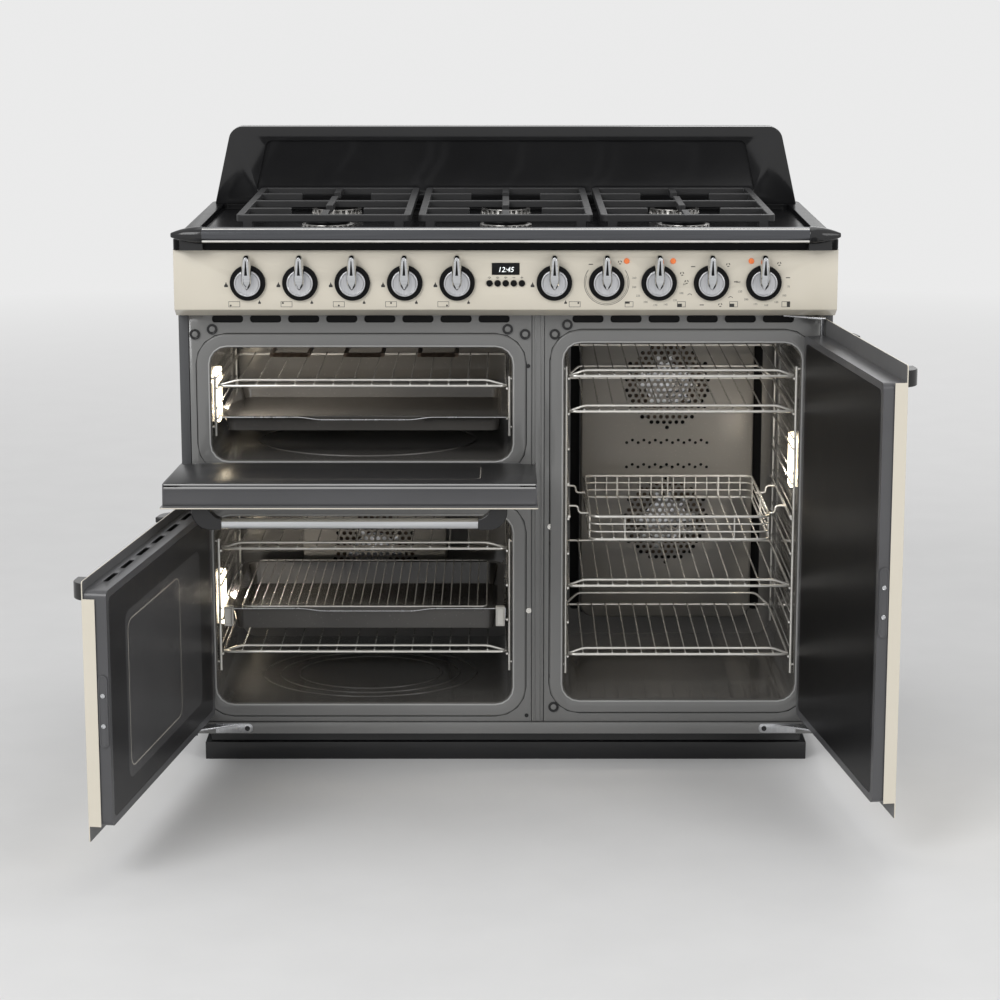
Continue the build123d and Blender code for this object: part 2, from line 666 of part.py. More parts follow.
def worktop():
    """Pressed top with a skirt, a flat rim and a shallow well, pierced for the burners."""
    y0 = PANEL_Y - WORKTOP_OVERHANG
    z1 = TOP_Z + WORKTOP_H
    top = floor_plate(-HALF, HALF, y0, BACK_Y, TOP_Z, z1, WORKTOP_R)
    top -= floor_plate(-HALF + SHEET, HALF - SHEET, y0 + SHEET, BACK_Y - SHEET, TOP_Z,
                       z1 - WORKTOP_WELL - SHEET, WORKTOP_R - SHEET)
    back = BACK_Y - UPSTAND_T - WORKTOP_RIM / 2
    top -= floor_plate(-HALF + WORKTOP_RIM, HALF - WORKTOP_RIM, y0 + WORKTOP_RIM, back, z1 - WORKTOP_WELL, z1,
                       WORKTOP_R)
    holes = [Pos(x, y, TOP_Z) * extrude(Circle(BURNER_HOLE_R), WORKTOP_H) for x, y in BURNER_SPOTS]
    return top - holes


def upstand_face(inset, z0, z1, radius):
    """Outline of the upstand from the front: sides that lean in, and rounded top corners."""
    low = HALF - UPSTAND_INSET - inset
    lean = UPSTAND_TAPER / UPSTAND_H
    high = low - lean * (z1 - z0)
    outline = Polygon((-low, z0), (low, z0), (high, z1), (-high, z1), align=None)
    tops = outline.vertices().sort_by(Axis.Y)[-2:]
    return fillet(tops, radius)


def upstand():
    """Back guard: a pressed pan, open at the back, with a sunk panel in its face."""
    z0 = TOP_Z + WORKTOP_H
    z1 = z0 + UPSTAND_H
    y0 = BACK_Y - UPSTAND_T
    outer = extrude(Plane.XZ.offset(-BACK_Y) * upstand_face(0, z0, z1, UPSTAND_R), UPSTAND_T)
    depth = UPSTAND_T - UPSTAND_PANEL_DEEP - SHEET
    inner = extrude(Plane.XZ.offset(-BACK_Y) * upstand_face(SHEET, z0, z1 - SHEET, UPSTAND_R - SHEET), depth)
    low = HALF - UPSTAND_PANEL_INSET
    panel_z = z0 + UPSTAND_PANEL_Z
    high = low - UPSTAND_TAPER * UPSTAND_PANEL_H / UPSTAND_H
    sunk = Polygon((-low, panel_z), (low, panel_z), (high, panel_z + UPSTAND_PANEL_H),
                   (-high, panel_z + UPSTAND_PANEL_H), align=None)
    sunk = fillet(sunk.vertices(), UPSTAND_R / 2)
    return outer - inner - extrude(Plane.XZ.offset(-y0 - UPSTAND_PANEL_DEEP) * sunk, UPSTAND_PANEL_DEEP)


def rail_end():
    """Leaf-shaped end bracket of the hob rail, with the arm that holds it to the worktop's edge."""
    length = HOB_RAIL_END
    r = HOB_RAIL_D / 2 + FOLD_GAP
    y = PANEL_Y - WORKTOP_OVERHANG - HOB_RAIL_REACH
    z = TOP_Z + WORKTOP_H + HOB_RAIL_RISE
    curve = ThreePointArc((0, r), (length * LEAF_SWELL_X, r * LEAF_SWELL_R), (length, LEAF_TIP_R))
    profile = make_face([curve, Polyline((length, LEAF_TIP_R), (length, 0), (0, 0), (0, r))])
    leaf = Pos(HOB_RAIL_HALF, y, z) * revolve(profile, Axis.X)
    arm_z = TOP_Z + SHEET
    arm = block(HOB_RAIL_HALF, HALF - WORKTOP_R, y, y + HOB_RAIL_REACH, arm_z, z)
    return leaf + arm


def front_rail():
    """Chrome rail between its two end brackets."""
    y = PANEL_Y - WORKTOP_OVERHANG - HOB_RAIL_REACH
    z = TOP_Z + WORKTOP_H + HOB_RAIL_RISE
    tube = Pos(-HOB_RAIL_HALF, y, z) * extrude(Plane.YZ * Circle(HOB_RAIL_D / 2), 2 * HOB_RAIL_HALF)
    end = rail_end()
    return [tube, end, mirror(end, about=Plane.YZ)]


def burner_base(x, y):
    """Burner crown: a stem through the worktop under a notched ring."""
    z = TOP_Z + WORKTOP_H - WORKTOP_WELL
    crown = Pos(x, y, z) * extrude(RegularPolygon(BURNER_R, BURNER_SIDES), BURNER_H, taper=BURNER_DRAFT)
    stem = Pos(x, y, z - BURNER_H) * extrude(RegularPolygon(BURNER_HOLE_R - SHEET, STEM_SIDES), BURNER_H)
    return crown + stem


def burner_cap(x, y):
    """Flat cap with a bevelled edge that lies on the crown."""
    z = TOP_Z + WORKTOP_H - WORKTOP_WELL + BURNER_H
    disc = Pos(x, y, z) * extrude(RegularPolygon(CAP_R, BURNER_SIDES), CAP_H)
    return chamfer(disc.faces().sort_by(Axis.Z)[-1].edges(), CAP_H / 3)


def pan_support(x):
    """Cast-iron grate over two burners: a rim, a middle bar, fingers to each burner and four feet."""
    z0 = TOP_Z + WORKTOP_H - WORKTOP_WELL
    z1 = z0 + PAN_H
    low = z1 - PAN_BAR
    half = PAN_W / 2
    y0 = BURNER_MID_Y - PAN_DEPTH / 2
    y1 = BURNER_MID_Y + PAN_DEPTH / 2
    rim_outer = floor_plate(x - half, x + half, y0, y1, low, z1, PAN_BAR)
    rim_inner = block(x - half + PAN_BAR, x + half - PAN_BAR, y0 + PAN_BAR, y1 - PAN_BAR, low, z1)
    grate = rim_outer - rim_inner
    bars = [block(x - half + PAN_BAR, x + half - PAN_BAR, BURNER_MID_Y - PAN_BAR / 2,
                  BURNER_MID_Y + PAN_BAR / 2, low, z1)]
    for side in (-1, 1):
        y = BURNER_MID_Y + side * BURNER_Y
        for way in (-1, 1):
            near = x + way * (half - PAN_BAR)
            far = near - way * PAN_FINGER
            bars.append(block(min(near, far), max(near, far), y - PAN_BAR / 2, y + PAN_BAR / 2, low, z1))
        outer = y0 + PAN_BAR if side < 0 else y1 - PAN_BAR
        for start in (BURNER_MID_Y + side * PAN_BAR / 2, outer):
            end = start + (PAN_FINGER if start < y else -PAN_FINGER)
            bars.append(block(x - PAN_BAR / 2, x + PAN_BAR / 2, min(start, end), max(start, end), low, z1))
    corners = [(x + sx * (half - PAN_FOOT / 2 - PAN_BAR), sy) for sx in (-1, 1)
               for sy in (y0 + PAN_BAR / 2, y1 - PAN_BAR / 2)]
    legs = [block(cx - PAN_FOOT / 2, cx + PAN_FOOT / 2, cy - PAN_BAR / 2, cy + PAN_BAR / 2, z0, low)
            for cx, cy in corners]
    return grate + bars + legs


# Controls

def control_panel():
    """Painted fascia with a slanted underside, open at the back, pierced for every control."""
    def section(grow):
        t = grow * SHEET
        points = [(FRAME_Y, TOP_Z - t), (PANEL_Y + t, TOP_Z - t),
                  (PANEL_Y + t, PANEL_Z0 + PANEL_BEVEL_H + t / 2),
                  (PANEL_Y + PANEL_BEVEL_D, PANEL_Z0 + t), (FRAME_Y, PANEL_Z0 + t)]
        return Polygon(*points, align=None)
    outer = extrude(Plane.YZ * section(0), HALF, both=True)
    panel = outer - extrude(Plane.YZ * section(1), HALF - SHEET, both=True)
    y0 = PANEL_Y - SHEET
    y1 = PANEL_Y + 2 * SHEET
    cuts = [rod(x, KNOB_Z, y0, y1, SHAFT_HOLE_R) for x in KNOB_XS]
    cuts += [rod(x, KNOB_Z + BUTTON_RISE, y0, y1, BUTTON_R + BUTTON_CLEAR) for x in BUTTON_XS]
    cuts += [rod(x, KNOB_Z + PILOT_RISE, y0, y1, PILOT_R + LENS_GAP) for x in PILOT_XS]
    display_z = KNOB_Z + DISPLAY_RISE
    cuts.append(block(-DISPLAY_W / 2, DISPLAY_W / 2, y0, y1, display_z - DISPLAY_H / 2,
                      display_z + DISPLAY_H / 2))
    return panel - cuts


def panel_lenses():
    """Display window and three pilot lenses, seated in the control panel."""
    z = KNOB_Z + DISPLAY_RISE
    window = block(-DISPLAY_W / 2 + LENS_GAP, DISPLAY_W / 2 - LENS_GAP, PANEL_Y - FOLD_GAP, PANEL_Y + LENS_T,
                   z - DISPLAY_H / 2 + LENS_GAP, z + DISPLAY_H / 2 - LENS_GAP)
    pilots = [rod(x, KNOB_Z + PILOT_RISE, PANEL_Y - PILOT_PROUD, PANEL_Y + LENS_T, PILOT_R) for x in PILOT_XS]
    return [window] + pilots


def grip_outline(draft):
    """Teardrop of the knob's grip: a round heel below the middle, drawn out to a small tip above."""
    heel = Pos(0, KNOB_GRIP_R - KNOB_GRIP_DOWN) * Circle(KNOB_GRIP_R - draft)
    tip = Pos(0, KNOB_GRIP_UP - KNOB_TIP_R) * Circle(KNOB_TIP_R - draft)
    return make_hull(heel.edges() + tip.edges())


def knob(x):
    """Turning knob: skirt, disc, upright grip, and the shaft that enters the valve or switch."""
    back = PANEL_Y - KNOB_GAP
    step = back - KNOB_BASE_T
    front = step - KNOB_DISC_T
    skirt = rod(x, KNOB_Z, step, back, KNOB_BASE_R)
    disc = rod(x, KNOB_Z, front, step, KNOB_DISC_R)
    root = Plane.XZ.offset(-front - KNOB_DISC_T / 2) * Pos(x, KNOB_Z) * grip_outline(0)
    crest = Plane.XZ.offset(-front + KNOB_GRIP_T) * Pos(x, KNOB_Z) * grip_outline(KNOB_GRIP_DRAFT)
    grip = loft([root, crest])
    shaft = rod(x, KNOB_Z, back, back + SHAFT_LEN, SHAFT_R)
    return skirt + disc + grip + shaft


def button(x):
    """Clock button in its hole, with a collar behind the panel that keeps it in."""
    z = KNOB_Z + BUTTON_RISE
    cap = prism(x, z, PANEL_Y - BUTTON_PROUD, PANEL_Y - BUTTON_PROUD + BUTTON_LEN, BUTTON_R, BUTTON_SIDES)
    y = PANEL_Y + SHEET + LENS_GAP
    collar = prism(x, z, y, y + SHEET, BUTTON_R + BUTTON_COLLAR, BUTTON_SIDES)
    return cap + collar


def control_body(x, width):
    """Valve or switch behind the panel, bored for the knob's shaft."""
    y0 = PANEL_Y + SHEET
    body = block(x - width / 2, x + width / 2, y0, y0 + VALVE_D, KNOB_Z - width / 2, KNOB_Z + width / 2)
    return body - rod(x, KNOB_Z, y0 - SHEET, y0 + VALVE_D - SHEET, SHAFT_R + RUN_CLEAR)


def gas_train():
    """Manifold with six valves on it, and its run to the inlet at the back."""
    y = PANEL_Y + SHEET + VALVE_D + PIPE_R - SHEET
    x0 = KNOB_XS[0] - VALVE_W
    pipe = extrude(Plane.YZ.offset(x0) * Pos(y, KNOB_Z) * RegularPolygon(PIPE_R, PIPE_SIDES), INLET_X - x0)
    run = prism(INLET_X, KNOB_Z, y, BACK_Y - INLET_LEN, PIPE_R, PIPE_SIDES)
    inlet = rod(INLET_X, KNOB_Z, BACK_Y - INLET_LEN, BACK_Y, INLET_R)
    valves = [control_body(x, VALVE_W) for x in KNOB_XS[:6]]
    return pipe + run + inlet + valves


def gas_and_controls():
    """Gas train, four oven switches and the clock's body."""
    z = KNOB_Z + DISPLAY_RISE
    clock = block(-DISPLAY_W / 2, DISPLAY_W / 2, PANEL_Y + LENS_T, PANEL_Y + LENS_T + CLOCK_D,
                  z - DISPLAY_H / 2, z + DISPLAY_H / 2)
    return [gas_train(), clock] + [control_body(x, SWITCH_W) for x in KNOB_XS[6:]]


# Doors

def skin(x0, x1, z0, z1, free_x, window):
    """Painted outer sheet with a return along its free edge, cut for the window if it has one."""
    sheet = front_plate(x0, x1, z0, z1, DOOR_OUT_Y, LINER_Y0, SKIN_R)
    if free_x is not None:
        inner = free_x + SKIN_T if free_x == x0 else free_x - SKIN_T
        sheet += block(min(free_x, inner), max(free_x, inner), DOOR_OUT_Y + SKIN_T / 2,
                       DOOR_OUT_Y + SKIN_RETURN, z0 + LIP_FOOT, z1 - LIP_TOP)
    return sheet - window if window else sheet


def window_cut(x0, x1, z0, z1):
    """Cutter for the sight window of a door, through skin and liner."""
    return front_plate(x0 + WINDOW_SIDE, x1 - WINDOW_SIDE, z0 + WINDOW_RISE, z1 - WINDOW_DROP,
                       DOOR_OUT_Y - SKIN_T, DOOR_IN_Y + SKIN_T, WINDOW_R)


def liner(x0, x1, z0, z1, bosses, window):
    """Inner door pan, open to the skin, with its big inner pane and a sight pane where it has a window."""
    box = front_plate(x0, x1, z0, z1, LINER_Y0, DOOR_IN_Y, LINER_R)
    box -= front_plate(x0 + SHEET, x1 - SHEET, z0 + SHEET, z1 - SHEET, LINER_Y0, DOOR_IN_Y - PANE_T - SHEET,
                       LINER_R - SHEET)
    box += bosses
    seat = front_plate(x0 + PANE_EDGE, x1 - PANE_EDGE, z0 + PANE_EDGE, z1 - PANE_EDGE, DOOR_IN_Y - PANE_T,
                       DOOR_IN_Y + SKIN_T, LINER_R)
    edge = PANE_EDGE + PANE_GAP
    pane = front_plate(x0 + edge, x1 - edge, z0 + edge, z1 - edge, DOOR_IN_Y - PANE_T, DOOR_IN_Y, LINER_R)
    box -= seat
    if not window:
        return [box, pane]
    box -= window
    span = window.bounding_box()
    x_in = PANE_GAP
    sight = front_plate(span.min.X + x_in, span.max.X - x_in, span.min.Z + x_in, span.max.Z - x_in, LINER_Y0,
                        LINER_Y0 + PANE_T, WINDOW_R - PANE_GAP)
    return [box, pane, sight]


def handle(x0, x1, z1):
    """Bar between two curved arms that stand on the door near its top edge."""
    z = z1 - HANDLE_DROP
    r = HANDLE_D / 2
    y = DOOR_OUT_Y - HANDLE_REACH + r
    left = x0 + HANDLE_SIDE
    right = x1 - HANDLE_SIDE
    grip = extrude(Plane.YZ.offset(left + HANDLE_ARM) * Pos(y, z) * Circle(r), right - left - 2 * HANDLE_ARM)
    far = left + HANDLE_ARM
    out = DOOR_OUT_Y - HANDLE_REACH
    back = y + r
    turn = left + ARM_TURN
    outer = ThreePointArc((turn, out), (left + ARM_BOW_X, out + ARM_BOW_Y), (left, DOOR_OUT_Y))
    foot = left + ARM_FOOT
    inner = ThreePointArc((foot, DOOR_OUT_Y), (left + ARM_HOLLOW_X, DOOR_OUT_Y - ARM_HOLLOW_Y), (far, back))
    outline = make_face([Line((far, out), (turn, out)), outer, Line((left, DOOR_OUT_Y), (foot, DOOR_OUT_Y)),
                         inner, Line((far, back), (far, out))])
    arm = Pos(0, 0, z - HANDLE_ARM_H / 2) * extrude(outline, HANDLE_ARM_H)
    other = mirror(arm, about=Plane.YZ.offset((x0 + x1) / 2))
    return [grip, arm, other]


def upright_bores(pivot, z0, z1):
    """Cutters for the pin holes in the top and foot of a side-hung door's liner."""
    hole = Pos(pivot[0], pivot[1], 0) * extrude(Circle(PIN_R + RUN_CLEAR), PIN_IN + SHEET)
    return [Pos(0, 0, z0) * hole, Pos(0, 0, z1 - PIN_IN - SHEET) * hole]


def upright_bosses(pivot, z0, z1):
    """Blocks in the corners of a side-hung door's liner that its hinge pins turn in."""
    x, y = pivot
    r = PIN_R + BOSS_WALL
    height = PIN_IN + 2 * SHEET
    lows = (z0 + SHEET / 2, z1 - height - SHEET / 2)
    return [block(x - r, x + r, LINER_Y0, y + r, low, low + height) for low in lows]


def swung(shapes, axis, angle):
    """Door pieces turned from shut to their rest angle."""
    return [shape.rotate(axis, angle) for shape in shapes]


def tall_door():
    x0, x1, z0, z1 = TALL_DOOR_X0, TALL_DOOR_X1, DOOR_Z0, DOOR_Z1
    foot = z0 + LIP_FOOT
    top = z1 - LIP_TOP
    edge = TALL_PIVOT[0] + PIN_R + BOSS_WALL
    box = liner(x0 + LIP_FREE, edge, foot, top, upright_bosses(TALL_PIVOT, foot, top), None)
    box[0] -= upright_bores(TALL_PIVOT, foot, top)
    axis = Axis((TALL_PIVOT[0], TALL_PIVOT[1], 0), (0, 0, 1))
    return {
        "tall_door_skin": swung([skin(x0, x1, z0, z1, x0, None)], axis, TALL_OPEN),
        "tall_door_liner": swung(box, axis, TALL_OPEN),
        "tall_door_handle": swung(handle(x0, x1, z1), axis, TALL_OPEN),
    }


def main_door():
    x0, x1, z0, z1 = LEFT_DOOR_X0, LEFT_DOOR_X1, DOOR_Z0, MAIN_DOOR_Z1
    window = window_cut(x0, x1, z0, z1)
    foot = z0 + LIP_FOOT
    top = z1 - MAIN_LIP_TOP
    edge = MAIN_PIVOT[0] - PIN_R - BOSS_WALL
    box = liner(edge, x1 - LIP_FREE, foot, top, upright_bosses(MAIN_PIVOT, foot, top), window)
    box[0] -= upright_bores(MAIN_PIVOT, foot, top)
    axis = Axis((MAIN_PIVOT[0], MAIN_PIVOT[1], 0), (0, 0, 1))
    return {
        "main_door_skin": swung([skin(x0, x1, z0, z1, x1, window)], axis, -MAIN_OPEN),
        "main_door_liner": swung(box, axis, -MAIN_OPEN),
        "main_door_handle": swung(handle(x0, x1, z1), axis, -MAIN_OPEN),
    }


def grill_door():
    x0, x1, z0, z1 = LEFT_DOOR_X0, LEFT_DOOR_X1, GRILL_DOOR_Z0, DOOR_Z1
    window = window_cut(x0, x1, z0, z1)
    left = x0 + GRILL_LIP_SIDE
    right = x1 - GRILL_LIP_SIDE
    y, z = GRILL_PIVOT
    r = GRILL_PIN_R + BOSS_WALL
    foot = z0 + GRILL_LIP_FOOT
    length = PIN_IN + 2 * SHEET
    bosses = [block(x, x + length, LINER_Y0, y + r, foot + SHEET / 2, z + r)
              for x in (left + SHEET / 2, right - length - SHEET / 2)]
    box = liner(left, right, foot, z1 - LIP_TOP, bosses, window)
    hole = extrude(Plane.YZ * Pos(y, z) * Circle(GRILL_PIN_R + RUN_CLEAR), PIN_IN + SHEET)
    box[0] -= [Pos(left, 0, 0) * hole, Pos(right - PIN_IN - SHEET, 0, 0) * hole]
    axis = Axis((0, y, z), (1, 0, 0))
    return {
        "grill_door_skin": swung([skin(x0, x1, z0, z1, None, window)], axis, GRILL_OPEN),
        "grill_door_liner": swung(box, axis, GRILL_OPEN),
        "grill_door_handle": swung(handle(x0, x1, z1), axis, GRILL_OPEN),
    }


def upright_hinge(pivot, inward, base_y, z, into_z):
    """Plate that stands out from the front, with a pin that enters a side-hung door's liner."""
    x, y = pivot
    toward = x + inward * HINGE_W
    foot = Polygon((x, base_y), (toward, base_y), (toward, base_y - HINGE_T), align=None)
    outline = make_hull((Pos(x, y) * Circle(HINGE_EYE_R)).edges() + foot.edges())
    plate = Pos(0, 0, z) * extrude(outline, HINGE_T)
    start, end = (z + HINGE_T, into_z) if into_z > z else (into_z, z)
    pin = Pos(x, y, start) * extrude(Circle(PIN_R), end - start)
    return plate + pin


def grill_hinge(side_x, inward):
    """Ear on the front frame with a pin that enters the end of the grill door's liner."""
    y, z = GRILL_PIVOT
    near = side_x - inward * HINGE_GAP
    far = near - inward * HINGE_T
    eye = Pos(y, z) * Circle(2 * GRILL_PIN_R)
    arm = Polygon((FRAME_Y, z - GRILL_PIN_R), (FRAME_Y, z + 4 * GRILL_PIN_R), (y, z + 2 * GRILL_PIN_R),
                  (y, z - GRILL_PIN_R), align=None)
    ear = extrude(Plane.YZ.offset(min(near, far)) * make_hull(eye.edges() + arm.edges()), HINGE_T)
    tip = side_x + inward * PIN_IN
    pin = extrude(Plane.YZ.offset(min(near, tip)) * Pos(y, z) * Circle(GRILL_PIN_R), abs(tip - near))
    return ear + pin


def hinge_hardware():
    """Two plates for each side-hung door and two ears for the grill door."""
    low = DOOR_Z0 - HINGE_GAP - HINGE_T
    rail_y = FRAME_Y - RAIL_PROUD
    main_top = MAIN_DOOR_Z1 - MAIN_LIP_TOP
    left = LEFT_DOOR_X0 + GRILL_LIP_SIDE
    right = LEFT_DOOR_X1 - GRILL_LIP_SIDE
    return [
        upright_hinge(TALL_PIVOT, -1, rail_y, low, DOOR_Z0 + LIP_FOOT + PIN_IN),
        upright_hinge(TALL_PIVOT, -1, FRAME_Y, DOOR_Z1 + HINGE_GAP, DOOR_Z1 - LIP_TOP - PIN_IN),
        upright_hinge(MAIN_PIVOT, 1, rail_y, low, DOOR_Z0 + LIP_FOOT + PIN_IN),
        upright_hinge(MAIN_PIVOT, 1, FRAME_Y, MAIN_DOOR_Z1 + HINGE_GAP, main_top - PIN_IN),
        grill_hinge(left, 1),
        grill_hinge(right, -1),
    ]


# Shelves

def rack(x0, x1, z, stop):
    """Wire rack: a heavy frame on the rungs, thin wires over it, a lifted front wire, maybe a back stop."""
    left = x0 + SLIDE_OFF
    right = x1 - SLIDE_OFF
    base = z + RUNG_D / 2 + RACK_GAP + RACK_D / 2
    y0 = CAVITY_Y0 + RACK_FRONT
    y1 = y0 + RACK_DEPTH
    frame = [bar((x, y0, base), (x, y1, base), RACK_D, 6) for x in (left, right)]
    frame += [bar((left, y, base), (right, y, base), RACK_D, 6) for y in (y0 + RACK_D / 2, y1 - RACK_D / 2)]
    pitch = (right - left) / (RACK_WIRES + 1)
    top = base + RACK_D / 2
    wires = []
    for n in range(RACK_WIRES):
        x = left + pitch * (n + 1)
        wires.append(bar((x, y0 + RACK_D / 2, top), (x, y1 - RACK_D / 2, top), WIRE_D, 4))
    ends = [(y0 + RACK_D * 2, RACK_LIFT)]
    if stop:
        ends.append((y1 - RACK_D / 2, RACK_STOP))
    for y, rise in ends:
        high = base + rise
        first = left + pitch
        last = right - pitch
        wires.append(bar((first, y, high), (last, y, high), RACK_D, 6))
        wires += [bar((x, y, base), (x, y, high), WIRE_D, 4) for x in (first, last)]
    return frame[0] + frame[1:] + wires


def basket_floor(x0, x1, y0, y1, z):
    """Frame of the basket's floor, with wires over it."""
    frame = [bar((x0, y, z), (x1, y, z), RACK_D, 6) for y in (y0, y1)]
    frame += [bar((x, y0, z), (x, y1, z), RACK_D, 6) for x in (x0, x1)]
    pitch = (x1 - x0) / (RACK_WIRES + 1)
    top = z + WIRE_D
    for n in range(RACK_WIRES):
        x = x0 + pitch * (n + 1)
        frame.append(bar((x, y0, top), (x, y1, top), WIRE_D, 4))
    return frame[0] + frame[1:]


def basket_fence(x0, x1, y, low, high):
    """Front or back of the basket: two posts on the floor's frame, a top wire and a thin one between."""
    middle = (low + high) / 2
    posts = [bar((x, y, low + RACK_D / 2), (x, y, high), RACK_D, 6) for x in (x0, x1)]
    return posts[0] + posts[1] + [bar((x0, y, high), (x1, y, high), RACK_D, 6),
                                  bar((x0, y, middle), (x1, y, middle), WIRE_D, 4)]


def basket_side(wire_x, rail_x, y0, y1, z):
    """Top wire of one side, and the rail beside it that runs on the rungs."""
    first = y0 + RACK_D / 2 + WELD
    last = y1 - RACK_D / 2 - WELD
    wire = bar((wire_x, first, z), (wire_x, last, z), RACK_D, 6)
    rail = bar((rail_x, y0, z), (rail_x, y1, z), RACK_D, 6)
    quarter = RACK_DEPTH / 4
    hooks = [bar((min(wire_x, rail_x), y, z), (max(wire_x, rail_x), y, z), RACK_D, 6)
             for y in (y0 + quarter, y1 - quarter)]
    return wire + rail + hooks


def basket():
    """Wire basket that hangs on a level of the tall oven by its side rails, with fences round its floor."""
    left = TALL_X0 + SLIDE_OFF
    right = TALL_X1 - SLIDE_OFF
    hang = TALL_LEVEL_ZS[4] + RUNG_D / 2 + RACK_GAP + RACK_D / 2
    floor = hang - BASKET_H
    y0 = CAVITY_Y0 + RACK_FRONT + RACK_D / 2
    y1 = y0 + RACK_DEPTH - RACK_D
    x0 = left + BASKET_INSET
    x1 = right - BASKET_INSET
    fences = [basket_fence(x0, x1, y, floor, hang) for y in (y0, y1)]
    sides = [basket_side(x, rail_x, y0, y1, hang) for x, rail_x in ((x0, left), (x1, right))]
    return [basket_floor(x0, x1, y0, y1, floor)] + fences + sides


def tray(x0, x1, rim_z, height):
    """Pressed tray with sloping walls and a flat rim."""
    y0 = CAVITY_Y0 + RACK_FRONT
    y1 = y0 + RACK_DEPTH
    outer = floor_plate(x0 + TRAY_RIM, x1 - TRAY_RIM, y0 + TRAY_RIM, y1 - TRAY_RIM, rim_z, rim_z - height,
                        TRAY_R, TRAY_SLOPE)
    lip = floor_plate(x0, x1, y0, y1, rim_z - TRAY_T, rim_z, TRAY_R + TRAY_RIM)
    inset = TRAY_RIM + TRAY_T
    inner = floor_plate(x0 + inset, x1 - inset, y0 + inset, y1 - inset, rim_z, rim_z - height + TRAY_T,
                        TRAY_R - TRAY_T, TRAY_SLOPE)
    return outer + lip - inner


def tray_grid(x0, x1, rim_z):
    """Wire grid that lies in the deep tray, held up by its end bars on the tray's rim."""
    left = x0 + 3 * TRAY_RIM
    right = x1 - 3 * TRAY_RIM
    y0 = CAVITY_Y0 + RACK_FRONT + TRAY_RIM / 2
    y1 = y0 + RACK_DEPTH - TRAY_RIM
    z = rim_z + RACK_GAP + WIRE_D / 2
    bars = [bar((left, y, z), (right, y, z), WIRE_D, 4) for y in (y0, y1)]
    pitch = (right - left) / (GRID_WIRES + 1)
    bars += [bar((left + pitch * (n + 1), y0, z), (left + pitch * (n + 1), y1, z), WIRE_D, 4)
             for n in range(GRID_WIRES)]
    return bars[0] + bars[1:]


def main_tray():
    """Deep tray on the two inner runner rails, with its wire grid."""
    reach = RUNG_OFF + RUNG_D / 2 + RUNNER_T / 3 + RACK_GAP
    thick = RUNNER_T / 2
    rim_z = RUNNER_Z + RUNNER_H / 2 + TRAY_T + RACK_GAP
    y0 = CAVITY_Y0 + RACK_FRONT
    rails = []
    for wall, inward in ((LEFT_X0, 1), (LEFT_X1, -1)):
        near = wall + inward * reach
        far = near + inward * thick
        rail = block(min(near, far), max(near, far), y0, y0 + RACK_DEPTH, RUNNER_Z - RUNNER_H / 2,
                     RUNNER_Z + RUNNER_H / 2)
        cap = block(min(near, far), max(near, far), y0 - RUNNER_CAP / 4, y0 + RUNNER_CAP,
                    RUNNER_Z - RUNNER_H, RUNNER_Z + RUNNER_H / 2)
        rails.append(rail + cap)
    x0 = LEFT_X0 + reach
    x1 = LEFT_X1 - reach
    return [tray(x0, x1, rim_z, MAIN_TRAY_H), tray_grid(x0, x1, rim_z)] + rails


def grill_tray():
    """Shallow tray on the lower rungs of the grill oven."""
    z = GRILL_LEVEL_ZS[0] + RUNG_D / 2 + RACK_GAP + TRAY_T
    edge = SLIDE_OFF - RACK_D / 2
    return tray(LEFT_X0 + edge, LEFT_X1 - edge, z, GRILL_TRAY_H)


# Assembly

def cavities():
    grill = cavity(LEFT_X0, LEFT_X1, GRILL_Z0, GRILL_Z1)
    main = cavity(LEFT_X0, LEFT_X1, MAIN_Z0, MAIN_Z1) - fan_bore("main_fan")
    tall = cavity(TALL_X0, TALL_X1, TALL_Z0, TALL_Z1)
    tall -= [fan_bore("tall_fan_lower"), fan_bore("tall_fan_upper")]
    return {"grill_cavity": grill, "main_cavity": main, "tall_cavity": tall}


def shelves():
    made = {}
    for name, level, stop in (("tall_rack_1", 0, True), ("tall_rack_2", 2, False), ("tall_rack_3", 7, True),
                              ("tall_rack_4", 8, False)):
        made[name] = rack(TALL_X0, TALL_X1, TALL_LEVEL_ZS[level], stop)
    made["tall_basket"] = basket()
    made["main_rack_low"] = rack(LEFT_X0, LEFT_X1, MAIN_LEVEL_ZS[0], False)
    made["main_rack_high"] = rack(LEFT_X0, LEFT_X1, MAIN_LEVEL_ZS[3], False)
    made["main_tray"] = main_tray()
    made["grill_rack"] = rack(LEFT_X0, LEFT_X1, GRILL_LEVEL_ZS[1], False)
    made["grill_tray"] = grill_tray()
    return made


def assembly():
    nodes = {
        "side_panels": [side_panel(-1), side_panel(1)],
        "back_panel": back_panel(),
        "base_tray": base_tray(),
        "plinth": plinth(),
        "feet": feet(),
        "front_frame": front_frame(),
        "worktop": worktop(),
        "upstand": upstand(),
        "front_rail": front_rail(),
        "burner_bases": [burner_base(x, y) for x, y in BURNER_SPOTS],
        "burner_caps": [burner_cap(x, y) for x, y in BURNER_SPOTS],
        "pan_supports": [pan_support(x) for x in BURNER_XS],
        "control_panel": control_panel(),
        "panel_lenses": panel_lenses(),
        "gas_and_controls": gas_and_controls(),
        "shelf_ladders": shelf_ladders(),
        "fan_housings": fan_housings(),
        "heating_elements": heating_elements(),
        "oven_lamps": oven_lamps(),
        "hinge_hardware": hinge_hardware(),
    }
    nodes.update(cavities())
    for group in (grill_door(), main_door(), tall_door(), shelves()):
        nodes.update(group)
    for n, x in enumerate(KNOB_XS):
        kind = "gas_knob" if n < 6 else "oven_knob"
        nodes[f"{kind}_{n + 1}"] = knob(x)
    for n, x in enumerate(BUTTON_XS):
        nodes[f"clock_button_{n + 1}"] = button(x)
    for name in FANS:
        nodes[name] = fan(name)
    return nodes


